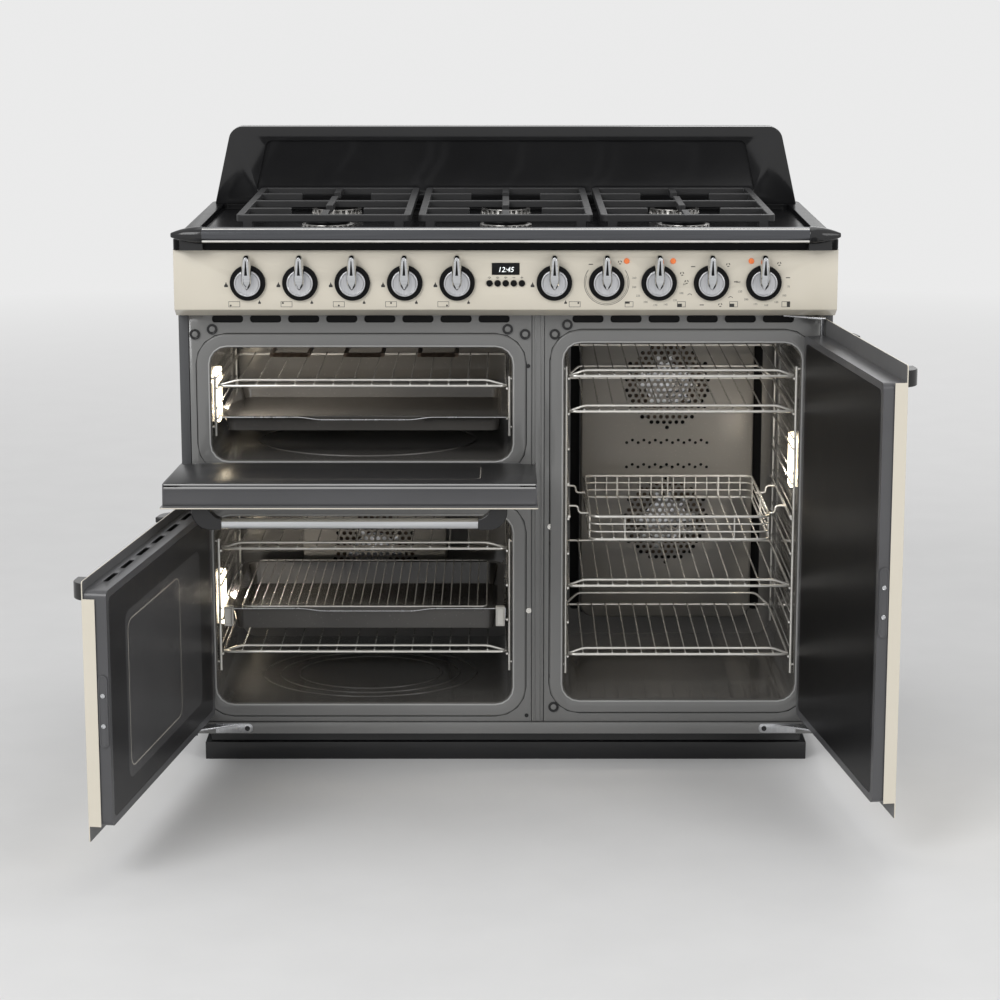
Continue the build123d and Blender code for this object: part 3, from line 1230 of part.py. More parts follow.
def main():
    os.makedirs("parts", exist_ok=True)
    for name, shape in assembly().items():
        whole = Compound(shape) if isinstance(shape, list) else shape
        export_step(whole, f"parts/{name}.step")


main()
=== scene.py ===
"""Range cooker with a gas hob and three ovens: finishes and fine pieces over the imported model, in metres."""
import json
from math import cos, hypot, pi, radians, sin, sqrt

import bmesh
import bpy
from mathutils import Matrix, Vector


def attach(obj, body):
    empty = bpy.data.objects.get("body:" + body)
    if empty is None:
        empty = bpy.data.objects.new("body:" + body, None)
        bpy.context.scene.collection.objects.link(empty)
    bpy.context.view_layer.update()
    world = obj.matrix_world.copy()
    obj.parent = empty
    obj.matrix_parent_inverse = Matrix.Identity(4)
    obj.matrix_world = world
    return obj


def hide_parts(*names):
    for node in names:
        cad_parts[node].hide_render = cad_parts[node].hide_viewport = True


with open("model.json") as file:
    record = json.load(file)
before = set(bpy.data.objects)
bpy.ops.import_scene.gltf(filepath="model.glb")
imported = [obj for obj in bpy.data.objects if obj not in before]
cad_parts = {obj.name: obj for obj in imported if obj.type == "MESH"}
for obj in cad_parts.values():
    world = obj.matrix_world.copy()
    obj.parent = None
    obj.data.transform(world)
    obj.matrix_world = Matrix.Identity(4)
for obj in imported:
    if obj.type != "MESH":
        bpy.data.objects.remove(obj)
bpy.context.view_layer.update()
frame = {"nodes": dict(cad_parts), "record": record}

# Places in millimetres, as the solids have them
MM = 0.001
PANEL_Y = -308.0
PRINT_Y = PANEL_Y - 0.12
KNOB_Z = 848.0
KNOB_XS = sorted(side * (80.5 + 86.7 * step) for side in (-1, 1) for step in range(5))
KNOBS = [f"gas_knob_{n}" for n in range(1, 7)] + [f"oven_knob_{n}" for n in range(7, 11)]
BUTTON_XS = [13.4 * (n - 2) for n in range(5)]
BUTTON_MARK_Z = KNOB_Z + 8.5
BURNER_SPOTS = [(x, y) for x in (-305, 0, 305) for y in (-137, 113)]
LEFT_X = (-497.5, 10.5)
TALL_X = (99.0, 497.5)
GRILL_LEVELS = (606, 658)
MAIN_LEVELS = [192 + 61 * n for n in range(4)]
TALL_LEVELS = [187 + 61 * n for n in range(9)]
# Name, side walls, floor, roof and shelf levels
OVENS = (("grill", LEFT_X, 538, 731, GRILL_LEVELS), ("main", LEFT_X, 110, 440, MAIN_LEVELS),
         ("tall", TALL_X, 116, 738, TALL_LEVELS))
FRAME_Y = -257.6
RACK_Y = (-244.0, 101.0)
RACK_RISE = 4.8
RACK_WIRES = 14
HEAVY_WIRE = 5.0
THIN_WIRE = 3.0
LADDER_Y = (-234.0, 116.0)
RUNNER_Z = (251, 273)
RUNNER_CAP_Z = (244, 278)
SLIDE_OFF = 9.5
COVER_Y = 140.0
CAVITY_BACK = 174.0
# Fan covers: left, right, foot and top, and the fans behind them
MAIN_COVER = (-377.5, -109.5, 150, 400)
TALL_COVER = (139, 457.5, 156, 698)
FANS = ("main_fan", "tall_fan_lower", "tall_fan_upper")
MAIN_FANS = [(-243.5, 278)]
TALL_FANS = [(298.25, 342), (298.25, 598)]
TALL_SWING = (Vector((528, -291, 0)), "Z", radians(98))
MAIN_SWING = (Vector((-528, -291, 0)), "Z", radians(-99))
GRILL_SWING = (Vector((0, -292, 510)), "X", radians(86))


# Working by hand

def deselect():
    bpy.ops.object.select_all(action="DESELECT")


def select(piece):
    deselect()
    piece.select_set(True)
    bpy.context.view_layer.objects.active = piece


def open_edit(piece):
    select(piece)
    bpy.ops.object.mode_set(mode="EDIT")
    bpy.ops.mesh.select_mode(type="FACE")


def close_edit():
    bpy.ops.object.mode_set(mode="OBJECT")


def pick(piece, kind, test):
    """Selects the faces, edges or points that pass a test on their middle, in mm, and their direction."""
    bpy.ops.mesh.select_mode(type=kind)
    bpy.ops.mesh.select_all(action="DESELECT")
    mesh = bmesh.from_edit_mesh(piece.data)
    if kind == "FACE":
        for face in mesh.faces:
            face.select_set(bool(test(face.calc_center_median() / MM, face.normal)))
    elif kind == "EDGE":
        for edge in mesh.edges:
            start, end = edge.verts
            edge.select_set(bool(test((start.co + end.co) / (2 * MM), (end.co - start.co).normalized())))
    else:
        for point in mesh.verts:
            point.select_set(bool(test(point.co / MM, point.normal)))
    mesh.select_flush_mode()
    bmesh.update_edit_mesh(piece.data)


def settle(piece, name):
    """Names a new piece and puts its place into its mesh."""
    piece.name = name
    piece.data.name = name
    select(piece)
    bpy.ops.object.transform_apply(location=True, rotation=True, scale=True)
    return piece


def block(name, x0, x1, y0, y1, z0, z1):
    deselect()
    middle = Vector((x0 + x1, y0 + y1, z0 + z1)) * MM / 2
    bpy.ops.mesh.primitive_cube_add(size=1, location=middle)
    piece = bpy.context.object
    piece.scale = Vector((x1 - x0, y1 - y0, z1 - z0)) * MM
    return settle(piece, name)


TURNS = {"X": (0, pi / 2, 0), "Y": (pi / 2, 0, 0), "Z": (0, 0, 0)}


def drum(name, centre, radius, length, axis, sides=32):
    deselect()
    bpy.ops.mesh.primitive_cylinder_add(vertices=sides, radius=radius * MM, depth=length * MM,
                                        location=Vector(centre) * MM, rotation=TURNS[axis])
    return settle(bpy.context.object, name)


def step_in(piece, test, inset, push):
    """Insets the chosen faces and pushes the inset ones out along their normal, or in."""
    pick(piece, "FACE", test)
    if inset:
        bpy.ops.mesh.inset(thickness=inset * MM, depth=0)
    if push:
        bpy.ops.mesh.extrude_region_shrink_fatten(TRANSFORM_OT_shrink_fatten={"value": push * MM})


def shaped(piece, *steps):
    """Works a piece's faces by hand, one (test, inset, push) after another."""
    open_edit(piece)
    for step in steps:
        step_in(piece, *step)
    close_edit()
    return piece


def round_edges(piece, test, width, steps):
    """Bevels the chosen edges of a piece."""
    open_edit(piece)
    pick(piece, "EDGE", test)
    bpy.ops.mesh.bevel(offset=width * MM, segments=steps)
    close_edit()
    return piece


def faces_front(p, n):
    return n.y < -0.9


def faces_up(p, n):
    return n.z > 0.9


def along_y(p, n):
    return abs(n.y) > 0.9


def nth_side(across, up, sides, every):
    """Whether a drum's side face is the first of every so many round it."""
    turn = Vector((across, up)).angle_signed(Vector((1, 0))) / (2 * pi)
    return round(turn * sides - 0.5) % every == 0


def modify(piece, kind, **values):
    """Adds a modifier, sets it and applies it."""
    select(piece)
    modifier = piece.modifiers.new(kind.lower(), kind)
    for label, value in values.items():
        setattr(modifier, label, value)
    bpy.ops.object.modifier_apply(modifier=modifier.name)


def soften(piece, width, steps=2, corner=35, smooth=40, clamp=False):
    """Rounds the sharp edges and shades the rest smooth."""
    modify(piece, "BEVEL", width=width * MM, segments=steps, limit_method="ANGLE",
           angle_limit=radians(corner), use_clamp_overlap=clamp)
    bpy.ops.object.shade_smooth_by_angle(angle=radians(smooth))
    return piece


def face_out(piece):
    """Merges doubles and turns all faces outwards."""
    open_edit(piece)
    bpy.ops.mesh.select_all(action="SELECT")
    bpy.ops.mesh.remove_doubles(threshold=0.00001)
    bpy.ops.mesh.normals_make_consistent(inside=False)
    close_edit()


def join(pieces, name):
    deselect()
    for piece in pieces:
        piece.select_set(True)
    bpy.context.view_layer.objects.active = pieces[0]
    if len(pieces) > 1:
        bpy.ops.object.join()
    return settle(pieces[0], name)


def copy_at(piece, name, shift=(0, 0, 0)):
    """Another of the same piece, with its own mesh, moved by mm."""
    mesh = piece.data.copy()
    mesh.name = name
    mesh.transform(Matrix.Translation(Vector(shift) * MM))
    made = bpy.data.objects.new(name, mesh)
    bpy.context.scene.collection.objects.link(made)
    return made


def drop(piece):
    bpy.data.objects.remove(piece)


def cut(piece, cutter):
    """Takes the cutter's shape out of the piece."""
    modify(piece, "BOOLEAN", operation="DIFFERENCE", solver="EXACT", object=cutter)
    drop(cutter)


def cast(node, name, width=0.0, steps=2, corner=35):
    """A merged copy of a CAD node with its edges rounded."""
    mesh = frame["nodes"][node].data.copy()
    mesh.name = name
    mesh.materials.clear()
    piece = bpy.data.objects.new(name, mesh)
    bpy.context.scene.collection.objects.link(piece)
    open_edit(piece)
    bpy.ops.mesh.select_all(action="SELECT")
    bpy.ops.mesh.remove_doubles(threshold=0.000005)
    bpy.ops.mesh.dissolve_limited(angle_limit=radians(0.5))
    close_edit()
    if piece.data.has_custom_normals:
        select(piece)
        bpy.ops.mesh.customdata_custom_splitnormals_clear()
    if width:
        soften(piece, width, steps, corner)
    else:
        select(piece)
        bpy.ops.object.shade_smooth_by_angle(angle=radians(35))
    return piece


def loose_parts(piece):
    """The piece's separate solids, largest box first."""
    open_edit(piece)
    bpy.ops.mesh.select_all(action="SELECT")
    bpy.ops.mesh.separate(type="LOOSE")
    close_edit()
    parts = list(bpy.context.selected_objects)
    parts.sort(key=lambda part: -span(part)[2].length)
    return parts


def span(piece):
    """Lowest and highest corner and size of a piece's mesh in mm."""
    corners = [point.co for point in piece.data.vertices]
    low = Vector([min(c[k] for c in corners) for k in range(3)]) / MM
    high = Vector([max(c[k] for c in corners) for k in range(3)]) / MM
    return low, high, high - low


def swing(piece, hinge, back=False):
    """Turns a piece from the shut door's place to the open one, or back."""
    pivot, axis, angle = hinge
    turn = Matrix.Rotation(-angle if back else angle, 4, axis)
    centre = Matrix.Translation(pivot * MM)
    piece.data.transform(centre @ turn @ centre.inverted())
    return piece


def path_wire(name, points, thick, corner=0.0, closed=False):
    """A round wire along drawn points, with its bends rounded."""
    deselect()
    bpy.ops.mesh.primitive_plane_add(size=0.002, location=Vector(points[0]) * MM)
    piece = settle(bpy.context.object, name)
    bpy.ops.object.mode_set(mode="EDIT")
    bpy.ops.mesh.select_mode(type="VERT")
    bpy.ops.mesh.select_all(action="SELECT")
    bpy.ops.mesh.merge(type="CENTER")
    for before, after in zip(points, points[1:]):
        step = (Vector(after) - Vector(before)) * MM
        bpy.ops.mesh.extrude_vertices_move(TRANSFORM_OT_translate={"value": step})
    first, last = Vector(points[0]), Vector(points[-1])
    if closed:
        pick(piece, "VERT", lambda p, n: min((p - first).length, (p - last).length) < 0.01)
        bpy.ops.mesh.edge_face_add()
    if corner:
        pick(piece, "VERT", lambda p, n: closed or min((p - first).length, (p - last).length) > 0.01)
        bpy.ops.mesh.bevel(offset=corner * MM, segments=4, affect="VERTICES")
    close_edit()
    return tube(piece, name, thick)


def loop_wire(name, x0, x1, y0, y1, z, thick, corner):
    """A closed wire round a level rectangle."""
    return path_wire(name, [(x0, y0, z), (x1, y0, z), (x1, y1, z), (x0, y1, z)], thick, corner, True)


def tube(piece, name, thick, sides=2):
    """Gives the edges of a piece a round section."""
    settle(piece, name)
    bpy.ops.object.convert(target="CURVE")
    line = bpy.context.object
    line.data.bevel_depth = thick * MM / 2
    line.data.bevel_resolution = sides
    line.data.use_fill_caps = True
    bpy.ops.object.convert(target="MESH")
    bpy.ops.object.shade_smooth_by_angle(angle=radians(50))
    return settle(bpy.context.object, name)


def row_of_wires(name, x0, x1, y0, y1, z, count, thick):
    """Straight wires front to back, evenly spaced from side to side, from one grid's lengthwise edges."""
    deselect()
    bpy.ops.mesh.primitive_grid_add(x_subdivisions=count - 1, y_subdivisions=1, size=1,
                                    location=Vector((x0 + x1, y0 + y1, 2 * z)) * MM / 2)
    piece = bpy.context.object
    piece.scale = ((x1 - x0) * MM, (y1 - y0) * MM, 1)
    settle(piece, name)
    open_edit(piece)
    pick(piece, "EDGE", lambda p, n: abs(n.x) > 0.5)
    bpy.ops.mesh.delete(type="EDGE")
    close_edit()
    return tube(piece, name, thick)


# Finishes

def srgb(*colour):
    """A colour as written, 0 to 255, for the shader."""
    linear = [c / 255 / 12.92 if c <= 10 else ((c / 255 + 0.055) / 1.055) ** 2.4 for c in colour]
    return (*linear, 1)


def new_group(name, label, value, *results):
    """Node group that reads a place and one value, and puts out values that vary over the surface."""
    group = bpy.data.node_groups.new(name, "ShaderNodeTree")
    kind = "NodeSocketVector" if isinstance(value, tuple) else "NodeSocketFloat"
    group.interface.new_socket("Vector", in_out="INPUT", socket_type="NodeSocketVector")
    group.interface.new_socket(label, in_out="INPUT", socket_type=kind).default_value = value
    for result in results:
        group.interface.new_socket(result, in_out="OUTPUT", socket_type="NodeSocketFloat")
    source, sink = group.nodes.new("NodeGroupInput"), group.nodes.new("NodeGroupOutput")
    return group, source.outputs["Vector"], source.outputs[label], sink.inputs


def noise(tree, vector, scale, detail=2.0, roughness=0.5):
    node = tree.nodes.new("ShaderNodeTexNoise")
    node.inputs["Detail"].default_value = detail
    node.inputs["Roughness"].default_value = roughness
    tree.links.new(vector, node.inputs["Vector"])
    if hasattr(scale, "node"):
        tree.links.new(scale, node.inputs["Scale"])
    else:
        node.inputs["Scale"].default_value = scale
    return node.outputs["Fac"]


def math(tree, operation, first, second):
    node = tree.nodes.new("ShaderNodeMath")
    node.operation = operation
    for socket, value in zip(node.inputs, (first, second)):
        if hasattr(value, "node"):
            tree.links.new(value, socket)
        else:
            socket.default_value = value
    return node.outputs[0]


def span_map(tree, value, low, high, out_low, out_high):
    node = tree.nodes.new("ShaderNodeMapRange")
    for label, number in (("From Min", low), ("From Max", high), ("To Min", out_low), ("To Max", out_high)):
        node.inputs[label].default_value = number
    tree.links.new(value, node.inputs["Value"])
    return node.outputs["Result"]


def grain_group():
    """Orange peel of a sprayed or fired coat, and its slow change of tone."""
    group, place, scale, out = new_group("coat grain", "Scale", 500.0, "Height", "Tone")
    group.links.new(noise(group, place, scale), out["Height"])
    tone = noise(group, place, 7.0, 3.0)
    group.links.new(span_map(group, tone, 0.3, 0.7, 0.0, 1.0), out["Tone"])
    return group


def marks_group():
    """Faint wiping and finger marks: a value that goes up where the gloss is duller."""
    group, place, scale, out = new_group("wipe marks", "Scale", 12.0, "Dull")
    broad = noise(group, place, scale, 5.0, 0.6)
    fine = noise(group, place, math(group, "MULTIPLY", scale, 9.0), 3.0)
    both = math(group, "MULTIPLY", span_map(group, broad, 0.45, 0.75, 0.0, 1.0), fine)
    group.links.new(both, out["Dull"])
    return group


def lines_group():
    """Fine brushed or drawn lines that run along one direction."""
    group, place, along, out = new_group("drawn lines", "Stretch", (4.0, 900.0, 900.0), "Line", "Height")
    stretch = group.nodes.new("ShaderNodeVectorMath")
    stretch.operation = "MULTIPLY"
    group.links.new(place, stretch.inputs[0])
    group.links.new(along, stretch.inputs[1])
    line = noise(group, stretch.outputs["Vector"], 1.0, 4.0, 0.7)
    group.links.new(span_map(group, line, 0.3, 0.7, 0.0, 1.0), out["Line"])
    group.links.new(line, out["Height"])
    return group


def speck_group():
    """Pale specks scattered in dark oven enamel."""
    group, place, scale, out = new_group("enamel specks", "Scale", 260.0, "Speck")
    cells = group.nodes.new("ShaderNodeTexVoronoi")
    group.links.new(place, cells.inputs["Vector"])
    group.links.new(scale, cells.inputs["Scale"])
    dot = span_map(group, cells.outputs["Distance"], 0.08, 0.16, 1.0, 0.0)
    chance = group.nodes.new("ShaderNodeSeparateColor")
    group.links.new(cells.outputs["Color"], chance.inputs["Color"])
    some = math(group, "GREATER_THAN", chance.outputs["Red"], 0.72)
    group.links.new(math(group, "MULTIPLY", dot, some), out["Speck"])
    return group


GRAIN = grain_group()
MARKS = marks_group()
LINES = lines_group()
SPECKS = speck_group()


class Finish:
    """A material under way: its tree, its Principled shader and its Object coordinates."""

    def __init__(self, name):
        self.material = bpy.data.materials.new(name)
        self.material.use_nodes = True
        self.tree = self.material.node_tree
        self.shader = self.tree.nodes["Principled BSDF"]
        self.place = self.tree.nodes.new("ShaderNodeTexCoord").outputs["Object"]

    def set(self, **values):
        for label, value in values.items():
            self.shader.inputs[label.replace("_", " ")].default_value = value
        return self

    def group(self, group, **values):
        node = self.tree.nodes.new("ShaderNodeGroup")
        node.node_tree = group
        self.tree.links.new(self.place, node.inputs["Vector"])
        for label, value in values.items():
            node.inputs[label].default_value = value
        return node

    def mix(self, factor, first, second):
        node = self.tree.nodes.new("ShaderNodeMix")
        node.data_type = "RGBA"
        self.tree.links.new(factor, node.inputs["Factor"])
        for label, colour in ((6, first), (7, second)):
            if hasattr(colour, "node"):
                self.tree.links.new(colour, node.inputs[label])
            else:
                node.inputs[label].default_value = colour
        return node.outputs[2]

    def colour(self, socket):
        self.tree.links.new(socket, self.shader.inputs["Base Color"])
        return self

    def rough(self, mask, low, high):
        self.tree.links.new(span_map(self.tree, mask, 0.0, 1.0, low, high), self.shader.inputs["Roughness"])
        return self

    def bump(self, height, strength, distance):
        node = self.tree.nodes.new("ShaderNodeBump")
        node.inputs["Strength"].default_value = strength
        node.inputs["Distance"].default_value = distance * MM
        self.tree.links.new(height, node.inputs["Height"])
        self.tree.links.new(node.outputs["Normal"], self.shader.inputs["Normal"])
        return self


def coated(name, colour, shade, low, high, grain=500.0, depth=0.05, coat=0.0, marks=12.0, shine=0.5,
           peel=0.35):
    """Sprayed, fired or cast skin: two close tones, orange peel and wipe marks in the gloss."""
    made = Finish(name)
    skin = made.group(GRAIN, Scale=grain)
    dull = made.group(MARKS, Scale=marks)
    made.colour(made.mix(skin.outputs["Tone"], srgb(*colour), srgb(*shade)))
    made.rough(dull.outputs["Dull"], low, high)
    made.bump(skin.outputs["Height"], peel, depth)
    made.set(Specular_IOR_Level=shine)
    if coat:
        made.set(Coat_Weight=coat, Coat_Roughness=0.06)
    return made.material


def glazed(name, colour, shade, low, high, shine):
    """Flat glass with a soft gloss and broad wipe marks."""
    return coated(name, colour, shade, low, high, 20.0, 0.01, marks=5.0, shine=shine)


def drawn(name, colour, shade, low, high, stretch=(4.0, 900.0, 900.0), depth=0.03, metal=1.0):
    """Bare or plated metal with fine drawn lines."""
    made = Finish(name)
    lines = made.group(LINES, Stretch=stretch)
    dull = made.group(MARKS, Scale=16.0)
    made.set(Metallic=metal)
    made.colour(made.mix(lines.outputs["Line"], srgb(*colour), srgb(*shade)))
    made.rough(dull.outputs["Dull"], low, high)
    made.bump(lines.outputs["Height"], 0.3, depth)
    return made.material


def enamelled(name, colour, shade, speck, low, high, coat=0.4, scale=260.0):
    """Fired oven enamel with pale specks."""
    made = Finish(name)
    peel = made.group(GRAIN, Scale=160.0)
    specks = made.group(SPECKS, Scale=scale)
    dull = made.group(MARKS, Scale=9.0)
    tone = made.mix(peel.outputs["Tone"], srgb(*colour), srgb(*shade))
    made.colour(made.mix(specks.outputs["Speck"], tone, srgb(*speck)))
    made.rough(dull.outputs["Dull"], low, high)
    made.bump(peel.outputs["Height"], 0.3, 0.12)
    made.set(Coat_Weight=coat, Coat_Roughness=0.08)
    return made.material


def glowing(name, colour, shade, light, strength):
    """Ribbed lens that is lit from behind."""
    made = Finish(name)
    lines = made.group(LINES, Stretch=(500.0, 500.0, 20.0))
    made.colour(made.mix(lines.outputs["Line"], srgb(*colour), srgb(*shade)))
    made.tree.links.new(made.mix(lines.outputs["Line"], srgb(*light), srgb(*colour)),
                        made.shader.inputs["Emission Color"])
    made.set(Emission_Strength=strength, Roughness=0.15)
    made.bump(lines.outputs["Height"], 0.4, 0.3)
    return made.material


CREAM = coated("cream paint", (219, 212, 197), (217, 210, 194), 0.3, 0.35, 900.0, 0.02, 0.2)
CASING = coated("grey casing paint", (74, 75, 77), (68, 69, 71), 0.45, 0.6, 700.0, 0.06)
FRAME = coated("grey front enamel", (118, 118, 117), (114, 114, 113), 0.2, 0.26, 300.0, 0.03, 0.3)
CAVITY = enamelled("oven enamel", (102, 100, 97), (92, 90, 87), (142, 138, 132), 0.14, 0.26)
BACK_COVER = enamelled("fan cover enamel", (112, 110, 106), (104, 102, 98), (146, 142, 136), 0.3, 0.42, 0.15)
BLACK_GLOSS = coated("black upstand enamel", (36, 36, 37), (32, 32, 33), 0.1, 0.2, 120.0, 0.04, shine=0.42)
BLACK_TOP = coated("black worktop enamel", (17, 17, 18), (14, 14, 15), 0.22, 0.34, 120.0, 0.04, shine=0.08)
TRAY = enamelled("dark tray enamel", (84, 82, 79), (72, 70, 68), (124, 121, 118), 0.16, 0.3)
BLACK_SATIN = coated("black satin mould", (18, 18, 19), (14, 14, 15), 0.3, 0.45, 1400.0, 0.03, shine=0.12)
PLINTH = coated("black plinth paint", (33, 33, 34), (28, 28, 29), 0.3, 0.45, 700.0, 0.04, shine=0.4)
GALVANISED = drawn("galvanised sheet", (168, 171, 174), (140, 143, 147), 0.4, 0.55, (30.0, 30.0, 30.0), 0.05)
CHROME = drawn("chrome plate", (214, 215, 217), (192, 194, 196), 0.05, 0.16, (6.0, 300.0, 300.0), 0.005)
# Painted reflection: the rail's metal is darkened to stand for a dark room mirrored in it.
RAIL_DARK_REFLECTION = drawn("polished rail with painted dark reflection", (96, 97, 100), (86, 87, 90), 0.1, 0.2, (6.0, 300.0, 300.0), 0.005)
WIRE = drawn("chromed wire", (240, 238, 232), (220, 218, 213), 0.14, 0.26, (60.0, 60.0, 60.0), 0.01, 0.65)
STEEL = drawn("satin steel", (206, 207, 209), (178, 179, 182), 0.26, 0.38, (900.0, 900.0, 8.0), 0.02)
DISC = drawn("brushed knob disc", (208, 208, 210), (184, 185, 188), 0.3, 0.42, (900.0, 900.0, 30.0), 0.02)
IRON = coated("cast iron", (37, 37, 38), (28, 28, 29), 0.5, 0.7, 700.0, 0.35, marks=25.0, peel=0.6)
ALLOY = drawn("burner alloy", (186, 184, 180), (150, 148, 145), 0.25, 0.45, (200.0, 200.0, 200.0), 0.06)
BRASS = drawn("brass fitting", (196, 160, 92), (168, 132, 70), 0.28, 0.45, (200.0, 200.0, 200.0), 0.04)
LINER = coated("grey door liner", (82, 82, 84), (75, 75, 77), 0.3, 0.44, 400.0, 0.04)
BACKING = coated("grey back of skin", (104, 104, 105), (96, 96, 97), 0.35, 0.5, 400.0, 0.04)
GLASS = glazed("grey door glass", (50, 50, 51), (46, 46, 47), 0.28, 0.34, 0.14)
DARK_GLASS = glazed("black door glass", (25, 25, 26), (22, 22, 23), 0.3, 0.36, 0.12)
SIGHT = glazed("sight window glass", (78, 78, 79), (73, 73, 74), 0.28, 0.34, 0.14)
TINT = glazed("printed glass line", (168, 164, 156), (156, 152, 145), 0.24, 0.32, 0.25)
# Painted highlight: a lighter copy of the front enamel for bright edges and beads.
EDGE = coated("enamel edge painted highlight", (172, 172, 171), (162, 162, 161), 0.16, 0.24, 300.0, 0.02, 0.3)
# Own colour of the heater tubes; on the fans it is painted shade.
HEATER_AND_FAN_SHADE = drawn("heater tube and fan shade", (96, 84, 74), (66, 58, 52), 0.45, 0.65, (90.0, 90.0, 90.0), 0.05)
INK = coated("printed marks", (52, 50, 47), (46, 44, 41), 0.4, 0.55, 1200.0, 0.01)
# Painted shade: near-black for sheets and lines put where only shade falls, behind slots and covers and in rim
# grooves.
SHADOW = coated("painted recess shade", (14, 14, 15), (10, 10, 11), 0.6, 0.75, 500.0, 0.02, shine=0.2)
WHITE = coated("white runner cap", (214, 212, 206), (204, 202, 196), 0.35, 0.5, 900.0, 0.02)
RUBBER = coated("black foot rubber", (26, 26, 27), (20, 20, 21), 0.6, 0.8, 900.0, 0.08)
AMBER = glowing("amber pilot", (222, 120, 64), (196, 96, 48), (255, 140, 70), 0.35)
LAMP = glowing("lit lamp lens", (255, 240, 210), (255, 226, 186), (255, 236, 200), 9.0)
DIGIT = glowing("lit digits", (236, 240, 240), (222, 228, 228), (236, 240, 240), 0.9)


BODY_OF = {node: body for body, nodes in frame["record"]["behaviour"]["bodies"].items() for node in nodes}


def finish(piece, material, body="carcass"):
    """Material and body of a finished piece."""
    piece.data.materials.clear()
    piece.data.materials.append(material)
    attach(piece, body)
    return piece


def stand_for(piece, node, material):
    """A finished piece in the place of a CAD node, on the node's body."""
    finish(piece, material, BODY_OF[node])
    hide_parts(node)
    return piece


def dress(node, material):
    """A CAD node that stays, with its own finish."""
    frame["nodes"][node].material_slots[0].material = material


# Casing

def casing():
    stand_for(cast("side_panels", "painted_sides", 0.6), "side_panels", CASING)
    stand_for(cast("plinth", "black_plinth", 1.2), "plinth", PLINTH)
    stand_for(cast("feet", "levelling_feet", 1.0), "feet", RUBBER)
    stand_for(cast("front_frame", "enamelled_front", 0.8), "front_frame", FRAME)
    stand_for(cast("hinge_hardware", "steel_hinges", 0.6), "hinge_hardware", STEEL)
    for node in ("back_panel", "base_tray"):
        dress(node, GALVANISED)
    dress("gas_and_controls", BRASS)
    # The fans take the dark heater finish as painted shade, so the cover's holes look dark round the rim.
    for node in ("heating_elements", *FANS):
        dress(node, HEATER_AND_FAN_SHADE)


# Places of the plugs, screws and strikers across and up the front frame
PLUG_HEADS = ((-522.9, 754.2), (-493.6, 762.8), (3.4, 762.8), (32.7, 754.2), (82.6, 754.2), (103.6, 770.4),
              (82.6, 102.3))
FRAME_SCREWS = ((77.4, 712.9), (77.4, 393.0), (77.4, 157.4), (36.1, 86.9), (-522.0, 86.9), (38.0, 700.0))
STRIKERS = ((75.7, 422.2), (39.6, 274.3))


def frame_plug(name, radius, rise):
    """Round plug head with a rim and a sunk middle, on the face of the front frame."""
    face = FRAME_Y - rise
    plug = drum(name, (0, FRAME_Y - rise / 2, 0), radius, rise, "Y", 20)
    middle = lambda p, n: faces_front(p, n) and p.x ** 2 + p.z ** 2 < 1
    sunk = lambda p, n: faces_front(p, n) and p.y > face + rise * 0.3
    shaped(plug, (lambda p, n: faces_front(p, n) and p.y < face + 0.1, radius * 0.28, 0),
           (middle, 0, -rise * 0.5), (sunk, radius * 0.2, 0),
           (lambda p, n: middle(p, n) and sunk(p, n), 0, rise * 0.4))
    return soften(plug, 0.4)


def frame_plugs():
    """Plugs, bumpers and strikers on the front frame, at the places the photograph shows."""
    large = frame_plug("frame_plug", 9.0, 3.2)
    small = frame_plug("frame_screw", 3.4, 2.0)
    striker = frame_plug("striker", 4.8, 2.6)
    made = [copy_at(large, f"plug_{n}", (x, 0, z)) for n, (x, z) in enumerate(PLUG_HEADS)]
    made += [copy_at(small, f"screw_{n}", (x, 0, z)) for n, (x, z) in enumerate(FRAME_SCREWS)]
    plugs = finish(join(made, "frame_plugs"), BLACK_GLOSS)
    plugs.data.materials.append(FRAME)
    for face in plugs.data.polygons:
        x, _, z = face.center / MM
        face.material_index = 1 if min(hypot(x - a, z - b) for a, b in PLUG_HEADS) < 5.2 else 0
    strikers = [copy_at(striker, f"striker_{n}", (x, 0, z)) for n, (x, z) in enumerate(STRIKERS)]
    finish(join(strikers, "door_strikers"), WIRE)
    for piece in (large, small, striker):
        drop(piece)


def mouth_trims():
    """Bead in each oven's mouth in a light enamel that is a painted highlight, and a dark line round its
    raised rim that is painted shade in the groove.
    """
    beads, groove_shades = [], []
    for label, walls, floor, roof, _ in OVENS:
        for made, out, y, thick in ((beads, 3.2, -259.8, 3.2), (groove_shades, 24.6, -258.0, 1.5)):
            x0, x1, z0, z1 = walls[0] - out, walls[1] + out, floor - out, roof + out
            corners = [(x0, y, z0), (x1, y, z0), (x1, y, z1), (x0, y, z1)]
            made.append(path_wire(f"{label}_trim_{out}", corners, thick, 28 + out, True))
    # Painted highlight: the beads' light enamel. Painted shade: the dark rings in the groove round each rim.
    finish(join(beads, "mouth_beads"), EDGE)
    finish(join(groove_shades, "rim_groove_shades"), SHADOW)


def hinge_plates():
    """Flat steel plates of the lower hinges on the bottom strip, each with a dark screw."""
    plates, screws = [], []
    for side in (-1, 1):
        x0, x1 = sorted((side * 438, side * 502))
        plate = block(f"hinge_plate_{side}", x0, x1, -264.0, -261.8, 57, 73.6)
        round_edges(plate, lambda p, n: along_y(p, n) and abs(p.x) < 440, 7.0, 4)
        plates.append(soften(shaped(plate, (faces_front, 1.6, 0.5)), 0.3))
        head = drum(f"hinge_screw_{side}", (side * 447, -265.2, 65.3), 4.4, 2.6, "Y", 20)
        screws.append(soften(shaped(head, (faces_front, 1.4, -0.8)), 0.4))
    finish(join(plates, "hinge_plates"), STEEL)
    finish(join(screws, "hinge_screws"), BLACK_GLOSS)


